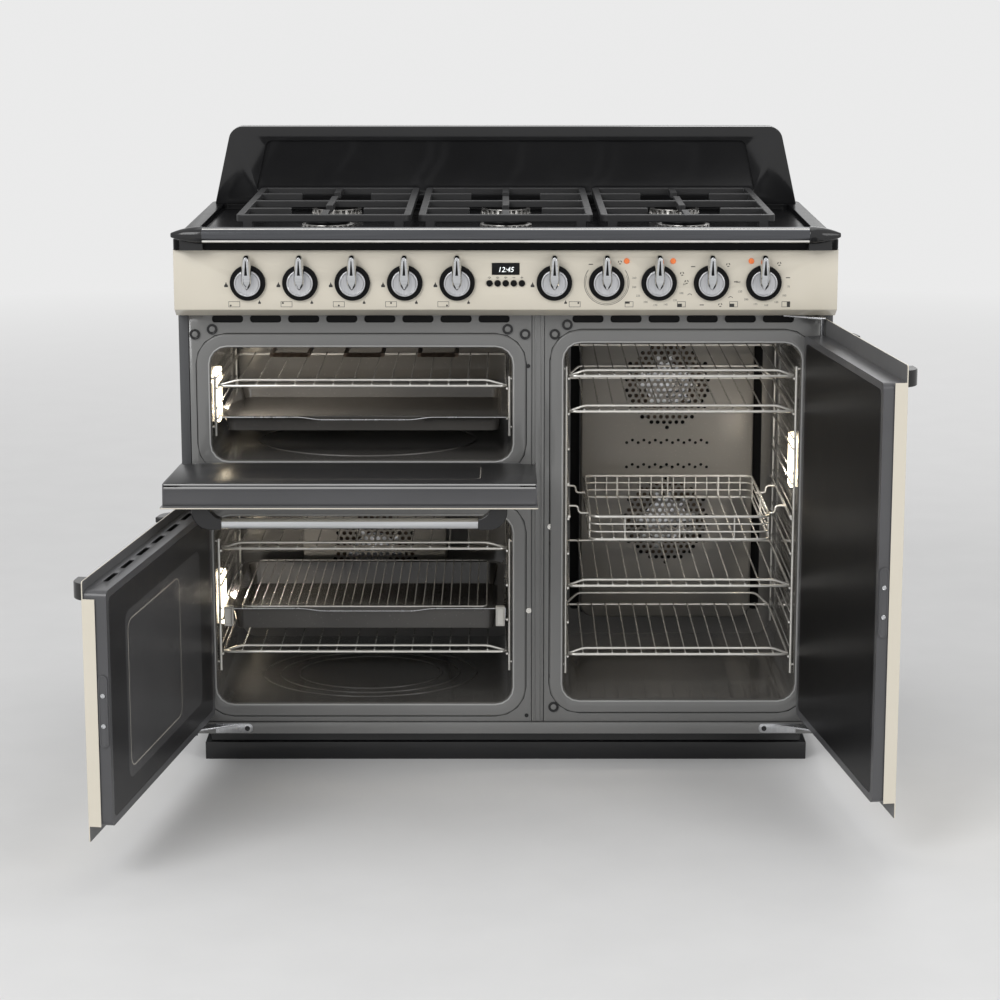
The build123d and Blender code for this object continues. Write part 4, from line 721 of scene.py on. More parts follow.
def vent_shades():
    """Dark strips behind the cooling slots: painted shade where the slots look into shadow."""
    made = []
    for n, (x0, x1) in enumerate((LEFT_X, TALL_X)):
        strip = block(f"vent_shade_{n}", x0, x1, -255.6, -254.2, 766, 794)
        shaped(strip, (faces_up, 0, 2.0), (lambda p, n: n.y > 0.9 and p.z > 793, 0, 12.0))
        made.append(soften(strip, 0.3))
    # Painted shade behind the cooling slots.
    finish(join(made, "vent_shades"), SHADOW)


# Hob

def crown(name, x, y):
    """Burner crown: a plain foot, a ring of flame slots and a raised seat for the cap."""
    ring = shaped(drum(name, (x, y, 915.5), 46.0, 7.0, "Z", 48), (faces_up, 1.5, 8.0))
    open_edit(ring)
    pick(ring, "FACE", lambda p, n: abs(n.z) < 0.3 and p.z > 919.5 and nth_side(p.x - x, p.y - y, 48, 2))
    bpy.ops.mesh.inset(thickness=0.9 * MM, depth=-4 * MM, use_individual=True)
    step_in(ring, lambda p, n: faces_up(p, n) and p.z > 926, 6.0, 1.0)
    close_edit()
    return soften(ring, 0.5)


def lid(name, x, y):
    """Burner cap with a rounded shoulder and a shallow dish."""
    cap = drum(name, (x, y, 931.0), 38.0, 6.0, "Z", 48)
    middle = lambda p, n: faces_up(p, n) and (p.x - x) ** 2 + (p.y - y) ** 2 < 4
    return soften(shaped(cap, (faces_up, 9.0, 0), (middle, 3.0, 0.8)), 1.6, 3)


# Half the rail's length, and the place and thickness of its two bright beads, painted highlights along the
# rail's top and lower front, (y, z, thickness)
RAIL_REACH = 497.5
RAIL_HIGHLIGHTS = ((-342.4, 920.8, 4.6), (-339.6, 939.6, 3.6))


def hob():
    stand_for(cast("worktop", "enamelled_worktop", 2.2, 3), "worktop", BLACK_TOP)
    stand_for(cast("upstand", "enamelled_upstand", 0.65, 3), "upstand", BLACK_GLOSS)
    supports = soften(cast("pan_supports", "cast_pan_supports"), 1.2, 2, 30, clamp=True)
    stand_for(supports, "pan_supports", IRON)
    first_x, first_y = BURNER_SPOTS[0]
    first_crown = crown("burner_crown", first_x, first_y)
    first_lid = lid("burner_lid", first_x, first_y)
    crowns, lids = [first_crown], [first_lid]
    for n, (x, y) in enumerate(BURNER_SPOTS[1:]):
        shift = (x - first_x, y - first_y, 0)
        crowns.append(copy_at(first_crown, f"crown_{n}", shift))
        lids.append(copy_at(first_lid, f"lid_{n}", shift))
    stand_for(join(crowns, "burner_crowns"), "burner_bases", ALLOY)
    stand_for(join(lids, "burner_lids"), "burner_caps", BLACK_SATIN)
    parts = loose_parts(cast("front_rail", "hob_rail"))
    stand_for(settle(parts[0], "hob_rail_tube"), "front_rail", RAIL_DARK_REFLECTION)
    for part, side in zip(parts[1:], ("a", "b")):
        finish(soften(settle(part, f"hob_rail_end_{side}"), 0.8), BLACK_GLOSS)
    # Painted highlights: two thin bright wires along the rail's top and lower front.
    beads = [path_wire(f"rail_highlight_{n}", [(-RAIL_REACH, y, z), (RAIL_REACH, y, z)], thick)
             for n, (y, z, thick) in enumerate(RAIL_HIGHLIGHTS)]
    finish(join(beads, "hob_rail_beads"), WIRE)


# Controls

BEZEL_R = 29.5
DISC_R = 21.8
SHAFT_R = 4.0
KNOB_SIDES = 56


def knob():
    """One knob about X 0: a stepped bezel with its shaft, a brushed disc and a teardrop grip."""
    back = PANEL_Y - 0.4
    middle = lambda p, n: faces_front(p, n) and abs(p.x) + abs(p.z - KNOB_Z) < 1
    bezel = drum("knob_bezel", (0, back - 2.5, KNOB_Z), BEZEL_R, 5.0, "Y", KNOB_SIDES)
    soften(shaped(bezel, (faces_front, 1.6, 0), (middle, 4.4, 1.6), (middle, 0.8, -1.2)), 0.7, 3)
    shaft = drum("knob_shaft", (0, back + 14.0, KNOB_Z), SHAFT_R, 30.0, "Y", 20)
    shaped(shaft, (lambda p, n: n.y > 0.9, 0.8, 0.6))
    # The dark strip on the grip's ridge, a painted dark reflection, goes with the black bezel.
    bezel = join([bezel, shaft, knob_dark_reflection(back - 33.2)], "knob_bezel")
    disc = drum("knob_disc", (0, back - 8.2, KNOB_Z), DISC_R, 7.2, "Y", KNOB_SIDES)
    soften(shaped(disc, (faces_front, 2.2, 0), (middle, 0.7, -0.6)), 0.7, 3)
    return bezel, disc, knob_grip(back - 11.0)


def outline_plate(name, points, y):
    """Flat face from its outline, (x, z) in mm."""
    deselect()
    bpy.ops.mesh.primitive_circle_add(vertices=len(points), radius=0.01, fill_type="NGON",
                                      rotation=TURNS["Y"])
    plate = settle(bpy.context.object, name)
    for point, (x, z) in zip(plate.data.vertices, points):
        point.co = Vector((x, y, z)) * MM
    return plate


# Right half of the grip's outline from its point up, (x, z)
GRIP_HALF = ((0, -10), (3.2, -7), (5.8, -3.5), (8.0, 1), (9.2, 7), (8.9, 13), (8.2, 20), (7.6, 28), (7.1, 36),
             (6.6, 41), (5.4, 45), (3.0, 47.4), (0, 48))


def knob_grip(y):
    """Teardrop pointer: its outline drawn out to a narrow flat ridge, cut down to a point below."""
    outline = [*GRIP_HALF] + [(-x, z) for x, z in reversed(GRIP_HALF[1:-1])]
    grip = outline_plate("knob_grip", [(x, KNOB_Z + z) for x, z in outline], y)
    open_edit(grip)
    bpy.ops.mesh.select_all(action="SELECT")
    bpy.ops.mesh.extrude_region_move(TRANSFORM_OT_translate={"value": (0, -13 * MM, 0)})
    pick(grip, "FACE", lambda p, n: p.y < y - 12.9)
    bpy.ops.mesh.inset(thickness=2.6 * MM, depth=0)
    bpy.ops.transform.translate(value=(0, -9.5 * MM, 0))
    mesh = bmesh.from_edit_mesh(grip.data)
    for point in mesh.verts:
        if point.co.y / MM < y - 20 and point.co.z / MM < KNOB_Z + 15:
            point.co.y += (KNOB_Z + 15 - point.co.z / MM) / 22 * 9 * MM
    bmesh.update_edit_mesh(grip.data)
    close_edit()
    face_out(grip)
    return soften(grip, 0.7, 3, 30, clamp=True)


def knob_dark_reflection(y):
    """Dark strip along the pointer's ridge: a painted dark reflection in its groove."""
    line = block("knob_dark_reflection", -2.4, 2.4, y - 0.4, y + 0.4, KNOB_Z + 16, KNOB_Z + 40)
    open_edit(line)
    pick(line, "VERT", lambda p, n: p.z > KNOB_Z + 39)
    bpy.ops.transform.resize(value=(0.3, 1, 1), center_override=(0, y * MM, (KNOB_Z + 40) * MM))
    close_edit()
    return soften(line, 0.15)


def knobs():
    parts = knob()
    finishes = (BLACK_SATIN, DISC, CHROME)
    for node, x in zip(KNOBS, KNOB_XS):
        for part, material, label in zip(parts, finishes, ("bezel", "disc", "grip")):
            piece = copy_at(part, f"{node}_{label}", (x, 0, 0))
            finish(piece, material, BODY_OF[node])
            if label == "bezel":
                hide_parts(node)
    for part in parts:
        drop(part)


def mark_plate(name, points):
    """Thin printed shape on the panel."""
    return outline_plate(name, points, PRINT_Y)


def bar_mark(name, x0, x1, z0, z1):
    return mark_plate(name, [(x0, z0), (x1, z0), (x1, z1), (x0, z1)])


def outlined(name, x, z, width, height, line):
    """Printed rectangle as four bars."""
    x0, x1, z0, z1 = x - width / 2, x + width / 2, z - height / 2, z + height / 2
    bars = [(x0, x1, z1 - line, z1), (x0, x1, z0, z0 + line), (x0, x0 + line, z0 + line, z1 - line),
            (x1 - line, x1, z0 + line, z1 - line)]
    return [bar_mark(f"{name}_{n}", *bar) for n, bar in enumerate(bars)]


def dot(name, x, z, radius, sides=12):
    return mark_plate(name, [(x + radius * cos(2 * pi * n / sides), z + radius * sin(2 * pi * n / sides))
                             for n in range(sides)])


FLAME = ((-0.34, -0.5), (0.34, -0.5), (0.36, -0.2), (0.12, 0.12), (0, 0.5), (-0.14, 0.1), (-0.36, -0.2))


def flame(name, x, z, size):
    return mark_plate(name, [(x + size * across, z + size * up) for across, up in FLAME])


def arc_mark(name, x, z, radius, line, first, last, steps):
    """Printed arc between two angles in degrees."""
    angles = [radians(first + (last - first) * n / steps) for n in range(steps + 1)]
    outer = [(x + radius * cos(a), z + radius * sin(a)) for a in angles]
    inner = [(x + (radius - line) * cos(a), z + (radius - line) * sin(a)) for a in reversed(angles)]
    return mark_plate(name, outer + inner)


def figure(text, x, z, size, lean=0.0):
    """Printed figure, made a mesh and set on the panel."""
    deselect()
    bpy.ops.object.text_add(location=(x * MM, PRINT_Y * MM, z * MM), rotation=(pi / 2, 0, 0))
    sign = bpy.context.object
    sign.data.body = text
    sign.data.size = size * MM
    sign.data.shear = lean
    sign.data.align_x = "CENTER"
    sign.data.align_y = "CENTER"
    sign.data.resolution_u = 2
    bpy.ops.object.convert(target="MESH")
    return settle(bpy.context.object, f"figure_{text}")


def burner_marks(n, x):
    """Large and small flame, and the burner's place on the hob."""
    side = 1 if n == 5 else -1
    spot = ((-1, -1), (-1, 1), (0, -1), (0, 1), (1, -1), (1, 1))[n]
    made = [flame(f"flame_{n}", x - 36, KNOB_Z - 3, 9), flame(f"low_flame_{n}", x + 19, KNOB_Z - 32, 6.5)]
    box_x, box_z = x + (34 if side > 0 else -23), KNOB_Z - 36
    made += outlined(f"hob_{n}", box_x, box_z, 19, 9.5, 0.7)
    made.append(dot(f"spot_{n}", box_x + spot[0] * 6, box_z + spot[1] * 2.1, 1.6))
    return made


# Left, right, foot and top of each oven on the small plan by its knob
OVEN_FILLS = {"grill": (-6.4, 1, 1, 4.2), "main": (-6.4, 1, -4.2, 1), "tall": (1.6, 6.4, -4.2, 4.2)}


def oven_mark(n, x, spot):
    """Plan of the three ovens with this knob's oven filled."""
    box_x, box_z = x + 37.5, KNOB_Z - 36
    x0, x1, z0, z1 = OVEN_FILLS[spot]
    fill = bar_mark(f"oven_fill_{n}", box_x + x0, box_x + x1, box_z + z0, box_z + z1)
    return outlined(f"oven_{n}", box_x, box_z, 14, 9.5, 0.7) + [fill]


def dial_figures(x, figures, first, step):
    """Thermostat figures round a knob."""
    made = []
    for n, text in enumerate(figures):
        angle = radians(first - step * n)
        made.append(figure(text, x + 42 * cos(angle), KNOB_Z + 38 * sin(angle), 4.6))
    return made


def function_marks(n, x, angles):
    """Small oven-function signs round a knob: a fan, bars and arcs in turn."""
    made = []
    for k, angle in enumerate(angles):
        a = radians(angle)
        cx, cz = x + 41 * cos(a), KNOB_Z + 40 * sin(a)
        if k % 3 == 0:
            made += [arc_mark(f"fan_{n}_{k}_{m}", cx, cz, 3.4, 1.5, 120 * m, 120 * m + 70, 4)
                     for m in range(3)]
        elif k % 3 == 1:
            made += outlined(f"bar_{n}_{k}", cx, cz, 7, 1.4, 0.7)
        else:
            made.append(arc_mark(f"arc_{n}_{k}", cx, cz - 2, 4, 0.9, 20, 160, 6))
    return made


def panel_marks():
    """All that is printed on the control panel."""
    made = []
    for n in range(6):
        made += burner_marks(n, KNOB_XS[n])
    made.append(arc_mark("timer_ring", KNOB_XS[6], KNOB_Z, 37.5, 0.8, 35, -215, 40))
    made.append(arc_mark("timer_ring_inner", KNOB_XS[6], KNOB_Z, 35.2, 0.6, 20, -200, 40))
    made += oven_mark(6, KNOB_XS[6], "grill") + function_marks(6, KNOB_XS[6], [58, 130])
    made += oven_mark(7, KNOB_XS[7], "main") + function_marks(7, KNOB_XS[7], [22])
    made += dial_figures(KNOB_XS[7], ["60", "100", "120", "140", "170", "200", "225", "240", "260"], -4, 23.5)
    made += oven_mark(8, KNOB_XS[8], "main")
    made += function_marks(8, KNOB_XS[8], [48, 2, -38, -68, -112, -150, 178, 138])
    made += oven_mark(9, KNOB_XS[9], "tall") + function_marks(9, KNOB_XS[9], [52, 12])
    made += dial_figures(KNOB_XS[9], ["75", "100", "125", "160", "175", "200", "230", "260"], -10, 24.5)
    z = BUTTON_MARK_Z
    for n, x in enumerate(BUTTON_XS):
        if n < 3:
            made += [arc_mark(f"clock_arc_{n}", x, z - 1, 2.6, 0.8, 0, 180, 8),
                     dot(f"clock_dot_{n}", x, z - 1, 0.8, 8)]
        else:
            made.append(bar_mark(f"across_{n}", x - 2.2, x + 2.2, z - 0.4, z + 0.4))
    made += [bar_mark("plus_top", x - 0.4, x + 0.4, z + 0.4, z + 2.2),
             bar_mark("plus_foot", x - 0.4, x + 0.4, z - 2.2, z - 0.4)]
    finish(join(made, "panel_marks"), INK)


def controls():
    stand_for(cast("control_panel", "painted_panel", 0.6), "control_panel", CREAM)
    lenses = loose_parts(cast("panel_lenses", "panel_lens", 0.5))
    window = stand_for(settle(lenses[0], "display_window"), "panel_lenses", DARK_GLASS)
    finish(join(lenses[1:], "pilot_lenses"), AMBER)
    front = span(window)[0].y
    digits = figure("12:45", 0, 869.6, 12.0, 0.22)
    digits.data.transform(Matrix.Translation((0, (front - 0.1 - PRINT_Y) * MM, 0)))
    finish(settle(digits, "clock_digits"), DIGIT)
    for n in range(1, 6):
        stand_for(cast(f"clock_button_{n}", f"domed_button_{n}", 0.9, 3), f"clock_button_{n}", BLACK_SATIN)
    knobs()
    panel_marks()


# Ovens

def floor_rings(name, centre, radii):
    """Pressed rings in an oven's floor."""
    made = []
    for n, radius in enumerate(radii):
        deselect()
        bpy.ops.mesh.primitive_torus_add(major_radius=radius * MM, minor_radius=3 * MM, major_segments=64,
                                         minor_segments=8, location=Vector(centre) * MM)
        ring = settle(bpy.context.object, f"{name}_{n}")
        open_edit(ring)
        bpy.ops.mesh.select_all(action="SELECT")
        bpy.ops.transform.resize(value=(1, 0.8, 0.4), center_override=Vector(centre) * MM)
        close_edit()
        bpy.ops.object.shade_smooth()
        made.append(ring)
    return finish(join(made, name), CAVITY)


PUNCH_LEN = 12.0
FAN_FIELD_R = 80.0
FAN_HOLE_PITCH = 11.5
FAN_HOLE_R = 3.9
SMALL_HOLE_PITCH = 10.6
SMALL_HOLE_R = 3.0
# Middle, height and count of the two rows of small holes between the tall oven's fans
SMALL_HOLE_ROWS = ((298.25, 446, 15), (298.25, 492, 15))


def hole_cutter(x, z, radius, pitch, hole):
    """Round punches on a close-packed grid that fills a circle, row by row."""
    rows = int(radius / (pitch * sqrt(3) / 2))
    made = []
    for row in range(-rows, rows + 1):
        rise = row * pitch * sqrt(3) / 2
        half = sqrt(radius ** 2 - rise ** 2)
        shift = pitch / 2 if row % 2 else 0.0
        spots = [k * pitch + shift for k in range(-20, 21) if abs(k * pitch + shift) <= half]
        if not spots:
            continue
        punch = drum(f"punch_{row}", (x + spots[0], COVER_Y, z + rise), hole, PUNCH_LEN, "Y", 10)
        modify(punch, "ARRAY", count=len(spots), use_relative_offset=False, use_constant_offset=True,
               constant_offset_displace=(pitch * MM, 0, 0))
        made.append(punch)
    return join(made, "punches")


def small_holes(x, z, count, pitch):
    """Punches for a zigzag row of small holes."""
    made = []
    for n in range(count):
        centre = (x + pitch * (n - (count - 1) / 2), COVER_Y, z + (2.4 if n % 2 else -2.4))
        made.append(drum(f"small_punch_{n}", centre, SMALL_HOLE_R, PUNCH_LEN, "Y", 10))
    return join(made, "small_punches")


def pierced_cover(name, x0, x1, z0, z1, fans, rows=()):
    """Fan cover: a pressed pan open to the back wall, pierced in front of each fan."""
    pan = block(name, x0, x1, COVER_Y, CAVITY_BACK - 0.5, z0, z1)
    round_edges(pan, along_y, 26.0, 6)
    round_edges(pan, lambda p, n: abs(n.y) < 0.1 and p.y < COVER_Y + 1, 4.0, 3)
    open_edit(pan)
    pick(pan, "FACE", lambda p, n: n.y > 0.9)
    bpy.ops.mesh.delete(type="FACE")
    close_edit()
    modify(pan, "SOLIDIFY", thickness=1.2 * MM, offset=-1)
    for x, z in fans:
        cut(pan, hole_cutter(x, z, FAN_FIELD_R, FAN_HOLE_PITCH, FAN_HOLE_R))
    for x, z, count in rows:
        cut(pan, small_holes(x, z, count, SMALL_HOLE_PITCH))
    select(pan)
    bpy.ops.object.shade_smooth_by_angle(angle=radians(35))
    return pan


def fan_star(name, x, z):
    """Bright front plate of a fan with short blade ends round it."""
    plate = drum(name, (x, 145.6, z), 40.0, 2.4, "Y", 30)
    open_edit(plate)
    pick(plate, "FACE", lambda p, n: abs(n.y) < 0.3 and nth_side(p.x - x, p.z - z, 30, 3))
    bpy.ops.mesh.inset(thickness=0.4 * MM, depth=16 * MM, use_individual=True)
    close_edit()
    middle = lambda p, n: faces_front(p, n) and hypot(p.x - x, p.z - z) < 1
    return soften(shaped(plate, (middle, 22.0, 0), (middle, 0, 1.4)), 0.3)


def fan_shades():
    """Dark plates behind the covers, holed for each fan's shaft, and dark strips either side of the tall one:
    painted shade behind the pierced covers and in the gaps beside the tall cover.
    """
    made = []
    for n, ((x0, x1, z0, z1), fans) in enumerate(((MAIN_COVER, MAIN_FANS), (TALL_COVER, TALL_FANS))):
        plate = block(f"fan_shade_{n}", x0 + 2, x1 - 2, 172.2, 173.6, z0 + 2, z1 - 2)
        shaped(plate, (faces_front, 12.0, -0.5))
        for x, z in fans:
            cut(plate, drum("shaft_hole", (x, 173, z), 20.0, 8.0, "Y", 24))
        made.append(plate)
    for n, x in enumerate((129, 467.5)):
        slot = block(f"cover_gap_shade_{n}", x - 8.5, x + 8.5, 172.0, 173.4, 164, 690)
        round_edges(slot, along_y, 6.0, 3)
        made.append(shaped(slot, (faces_front, 1.5, -0.6)))
    # Painted shade behind the covers and beside the tall one.
    finish(join(made, "fan_shades"), SHADOW)


def ovens():
    for node in ("grill_cavity", "main_cavity", "tall_cavity"):
        stand_for(cast(node, f"enamelled_{node}"), node, CAVITY)
    floor_rings("main_floor_rings", (-243.5, -70, 110.2), (190, 160, 128))
    floor_rings("grill_floor_ring", (-243.5, -70, 538.2), (190,))
    stand_for(pierced_cover("main_fan_cover", *MAIN_COVER, MAIN_FANS), "fan_housings", BACK_COVER)
    finish(pierced_cover("tall_fan_cover", *TALL_COVER, TALL_FANS, SMALL_HOLE_ROWS), BACK_COVER)
    fan_shades()
    for body, (x, z) in zip(FANS, MAIN_FANS + TALL_FANS):
        finish(fan_star(f"{body}_star", x, z), STEEL, body)
    motors = []
    for part in loose_parts(cast("fan_housings", "fan_motor")):
        if span(part)[0].y > 170:
            motors.append(part)
        else:
            drop(part)
    finish(join(motors, "fan_motors"), GALVANISED)
    stand_for(cast("oven_lamps", "lamp_lenses", 2.0, 3), "oven_lamps", LAMP)


def ladder_wires(label, wall, inward, levels):
    """Side support: two posts, a rung and a guard wire for each level, and stubs to the wall."""
    post_x, rung_x, guard_x = wall + inward * 4.0, wall + inward * 8.2, wall + inward * 5.6
    y0, y1 = LADDER_Y
    z0, z1 = levels[0] - 30.5, levels[-1] + 20.3
    made = [path_wire(f"{label}_post_{n}", [(post_x, y, z0), (post_x, y, z1)], 5.0)
            for n, y in enumerate(LADDER_Y)]
    for n, z in enumerate(levels):
        made.append(path_wire(f"{label}_rung_{n}", [(rung_x, y0 - 5, z), (rung_x, y1 + 5, z)], 4.0))
        guard = [(post_x, y0 + 8, z + 15), (guard_x, y0 + 12, z + 15), (guard_x, y1 - 12, z + 15),
                 (post_x, y1 - 8, z + 15)]
        made.append(path_wire(f"{label}_guard_{n}", guard, 3.0, 3.0))
    for n, (y, z) in enumerate([(y, z) for y in LADDER_Y for z in (z0 + 15.2, z1 - 4)]):
        made.append(path_wire(f"{label}_stub_{n}", [(wall, y, z), (post_x, y, z)], 4.0))
    return made


def fixed_runner(label, wall, inward):
    """Outer channel of a telescopic runner."""
    near, far = sorted((wall + inward * 10.2, wall + inward * 13.2))
    rail = block(f"{label}_channel", near, far, *LADDER_Y, *RUNNER_Z)
    shaped(rail, (lambda p, n: n.x * inward > 0.9, 4.0, 0),
           (lambda p, n: n.x * inward > 0.9 and abs(p.z - sum(RUNNER_Z) / 2) < 1, 0.6, -1.2))
    return soften(rail, 0.5)


def shelf_supports():
    made = []
    for label, walls, _, _, levels in OVENS:
        for wall, inward in zip(walls, (1, -1)):
            made += ladder_wires(f"{label}_ladder_{inward}", wall, inward, levels)
    stand_for(join(made, "ladder_wires"), "shelf_ladders", WIRE)
    runners = [fixed_runner(f"runner_{side}", wall, side) for wall, side in zip(LEFT_X, (1, -1))]
    finish(join(runners, "runner_channels"), STEEL)


def wire_rack(node, walls, level, stop=False):
    """Chromed rack: a heavy rounded frame, thin wires over it, a lifted front bar and maybe a back stop."""
    left, right = walls[0] + SLIDE_OFF, walls[1] - SLIDE_OFF
    base = level + RACK_RISE
    y0, y1 = RACK_Y
    made = [loop_wire(f"{node}_frame", left, right, y0 + 2.5, y1 - 2.5, base, HEAVY_WIRE, 12.0)]
    pitch = (right - left) / (RACK_WIRES + 1)
    inner_left, inner_right = left + pitch, right - pitch
    made.append(row_of_wires(f"{node}_wires", inner_left, inner_right, y0 + 1.5, y1 - 2.5, base + 2.8,
                             RACK_WIRES, THIN_WIRE))
    bars = [(y0 + 10, 9.0)]
    if stop:
        bars.append((y1 - 2.5, 22.0))
    for n, (y, rise) in enumerate(bars):
        points = [(left + 1, y, base), (inner_left, y, base + rise), (inner_right, y, base + rise),
                  (right - 1, y, base)]
        made.append(path_wire(f"{node}_bar_{n}", points, 4.4, 6.0))
    stand_for(join(made, f"{node}_wires"), node, WIRE)


def wire_basket():
    """Wire basket: floor, fences with rounded corners, and S-shaped hooks to its side rails."""
    left, right = TALL_X[0] + SLIDE_OFF, TALL_X[1] - SLIDE_OFF
    x0, x1 = left + 36, right - 36
    hang = TALL_LEVELS[4] + RACK_RISE
    low = hang - 40
    y0, y1 = RACK_Y[0] + 2.5, RACK_Y[1] - 2.5
    pitch = (x1 - x0) / (RACK_WIRES + 1)
    made = [loop_wire("basket_floor_frame", x0, x1, y0, y1, low, HEAVY_WIRE, 14.0),
            row_of_wires("basket_floor_wires", x0 + pitch, x1 - pitch, y0, y1, low + 3, RACK_WIRES,
                         THIN_WIRE),
            loop_wire("basket_rim", x0, x1, y0, y1, hang, HEAVY_WIRE, 16.0)]
    for n, z in enumerate((low + 13.5, low + 27)):
        made.append(loop_wire(f"basket_band_{n}", x0, x1, y0, y1, z, THIN_WIRE, 15.0))
    uprights = [(x, y, low, 3.4) for x in (x0, x1) for y in (y0 + 18, -71.5, y1 - 18)]
    uprights += [(x, y, low, THIN_WIRE) for x in (x0 + 60, (x0 + x1) / 2, x1 - 60) for y in (y0, y1)]
    uprights += [(x0 + pitch * (n + 1), y1, low + 3, THIN_WIRE) for n in range(RACK_WIRES)]
    for n, (x, y, foot, thick) in enumerate(uprights):
        made.append(path_wire(f"basket_upright_{n}", [(x, y, foot), (x, y, hang)], thick))
    for side, rail_x, wire_x in ((-1, left, x0), (1, right, x1)):
        made.append(path_wire(f"basket_rail_{side}", [(rail_x, y0, hang), (rail_x, y1, hang)], HEAVY_WIRE))
        middle = (rail_x + wire_x) / 2
        for k, y in enumerate((y0 + 86.25, y1 - 86.25)):
            hook = [(rail_x, y, hang), (middle, y, hang), (middle, y, hang - 13), (wire_x, y, hang - 13)]
            made.append(path_wire(f"basket_hook_{side}_{k}", hook, 4.0, 6.0))
    stand_for(join(made, "wire_basket"), "tall_basket", WIRE)


# How far the lip of a tray drops at places across it
LIP_DIP = ((-349, 0.0), (-317, -4.4), (-160, -4.4), (-128, 0.0))


def dipped_tray(tray, name):
    """Lowers the middle of a tray's front edge and rolls a lip along it, in bright steel that is a painted
    highlight of the rim.
    """
    low, high, _ = span(tray)
    cut(tray, block("lip_gap", -333, -144, low.y - 4, low.y + 9, high.z - 4.2, high.z + 4))
    soften(tray, 0.3)
    z = high.z - 0.6
    points = [(low.x + 3, low.y, z)] + [(x, low.y, z + dip) for x, dip in LIP_DIP] + [(high.x - 3, low.y, z)]
    # The lip's bright steel is a painted highlight along the tray's rim.
    return path_wire(f"{name}_lip", points, 2.4, 6.0)


def deep_tray():
    """Deep enamelled tray with its wire grid on the inner runner rails."""
    parts = loose_parts(cast("main_tray", "main_tray_part"))
    rails = []
    for part in parts:
        low, high, size = span(part)
        if size.z > 30:
            lip = dipped_tray(settle(part, "deep_tray"), "deep_tray")
            stand_for(part, "main_tray", TRAY)
            # Painted highlight: the lip in bright steel.
            finish(lip, STEEL, "main_tray")
            rim = high.z
            x0, x1 = low.x, high.x
        elif size.x < 20:
            rails.append(soften(part, 0.6))
        else:
            drop(part)
    finish(join(rails, "inner_runners"), STEEL, "main_tray")
    y0, y1 = RACK_Y[0] + 5, RACK_Y[1] - 5
    z = rim + 1.8
    grid = [loop_wire("grid_frame", x0 + 30, x1 - 30, y0, y1, z, 3.0, 10.0),
            row_of_wires("grid_wires", x0 + 46, x1 - 46, y0, y1, z + 0.4, 26, 2.4)]
    finish(join(grid, "tray_grid"), WIRE, "main_tray")
    caps = []
    for side, edge in ((-1, x0 + 2.2), (1, x1 - 2.2)):
        near, far = sorted((edge + side * 3.5, edge - side * 12.0))
        cap = block(f"runner_cap_{side}", near, far, RACK_Y[0] - 6.0, RACK_Y[0] + 8, *RUNNER_CAP_Z)
        caps.append(soften(shaped(cap, (faces_front, 2.2, -1.0)), 1.4, 3))
    finish(join(caps, "runner_caps"), WHITE, "main_tray")


def shelves():
    for n, (level, stop) in enumerate(((0, True), (2, False), (7, True), (8, False)), 1):
        wire_rack(f"tall_rack_{n}", TALL_X, TALL_LEVELS[level], stop)
    wire_rack("main_rack_low", LEFT_X, MAIN_LEVELS[0])
    wire_rack("main_rack_high", LEFT_X, MAIN_LEVELS[3])
    wire_rack("grill_rack", LEFT_X, GRILL_LEVELS[1])
    wire_basket()
    deep_tray()
    tray = cast("grill_tray", "shallow_tray")
    lip = dipped_tray(tray, "shallow_tray")
    stand_for(tray, "grill_tray", TRAY)
    # Painted highlight: the lip in bright steel.
    finish(lip, STEEL, "grill_tray")


# Doors

def door_skin(node, name, hinge):
    """Painted outer sheet: cream outside and round its edges, dark on its back."""
    skin = swing(cast(node, name), hinge, True)
    soften(skin, 0.6)
    stand_for(skin, node, CREAM)
    skin.data.materials.append(BACKING)
    for face in skin.data.polygons:
        face.material_index = 1 if face.normal.y > 0.5 else 0
    return swing(skin, hinge)


# Cooling slots in the top of the main door's box: half their length, depth and places
SLOT_REACH = 27
SLOT_Y = (-287, -279)
SLOT_XS = [-250 + 84 * (n - 2.5) for n in range(6)]


def door_box(node, name, hinge, body, glass, slots=()):
    """Inner pan with its panes; slots are cut in its top where the door has them."""
    parts = loose_parts(swing(cast(node, name), hinge, True))
    pan = parts[0]
    for part in parts:
        if span(part)[2].y > 20:
            pan = part
    top = span(pan)[1].z
    for n, x in enumerate(slots):
        slot = block(f"slot_{n}", x - SLOT_REACH, x + SLOT_REACH, *SLOT_Y, top - 6, top + 6)
        cut(pan, soften(slot, 1.5))
    stand_for(soften(settle(pan, name), 0.2), node, LINER)
    panes = [part for part in parts if part != pan]
    for n, pane in enumerate(panes):
        soften(settle(pane, f"{name}_pane_{n}"), 0.5, clamp=True)
        finish(pane, glass, body)
        swing(pane, hinge)
    swing(pan, hinge)


def window_plate(name, x0, x1, z0, z1, y, material, hinge, body, line=0.0):
    """Rounded patch on a door's inner pane, or only a line round its edge."""
    deselect()
    bpy.ops.mesh.primitive_plane_add(size=1, location=Vector((x0 + x1, 2 * y, z0 + z1)) * MM / 2,
                                     rotation=(-pi / 2, 0, 0))
    plate = bpy.context.object
    plate.scale = ((x1 - x0) * MM, (z1 - z0) * MM, 1)
    settle(plate, name)
    open_edit(plate)
    bpy.ops.mesh.select_mode(type="VERT")
    bpy.ops.mesh.select_all(action="SELECT")
    bpy.ops.mesh.bevel(offset=0.02, segments=5, affect="VERTICES")
    pick(plate, "FACE", lambda p, n: True)
    bpy.ops.mesh.inset(thickness=(line or 4.0) * MM, depth=0)
    if line:
        bpy.ops.mesh.delete(type="FACE")
    close_edit()
    finish(plate, material, body)
    return swing(plate, hinge)


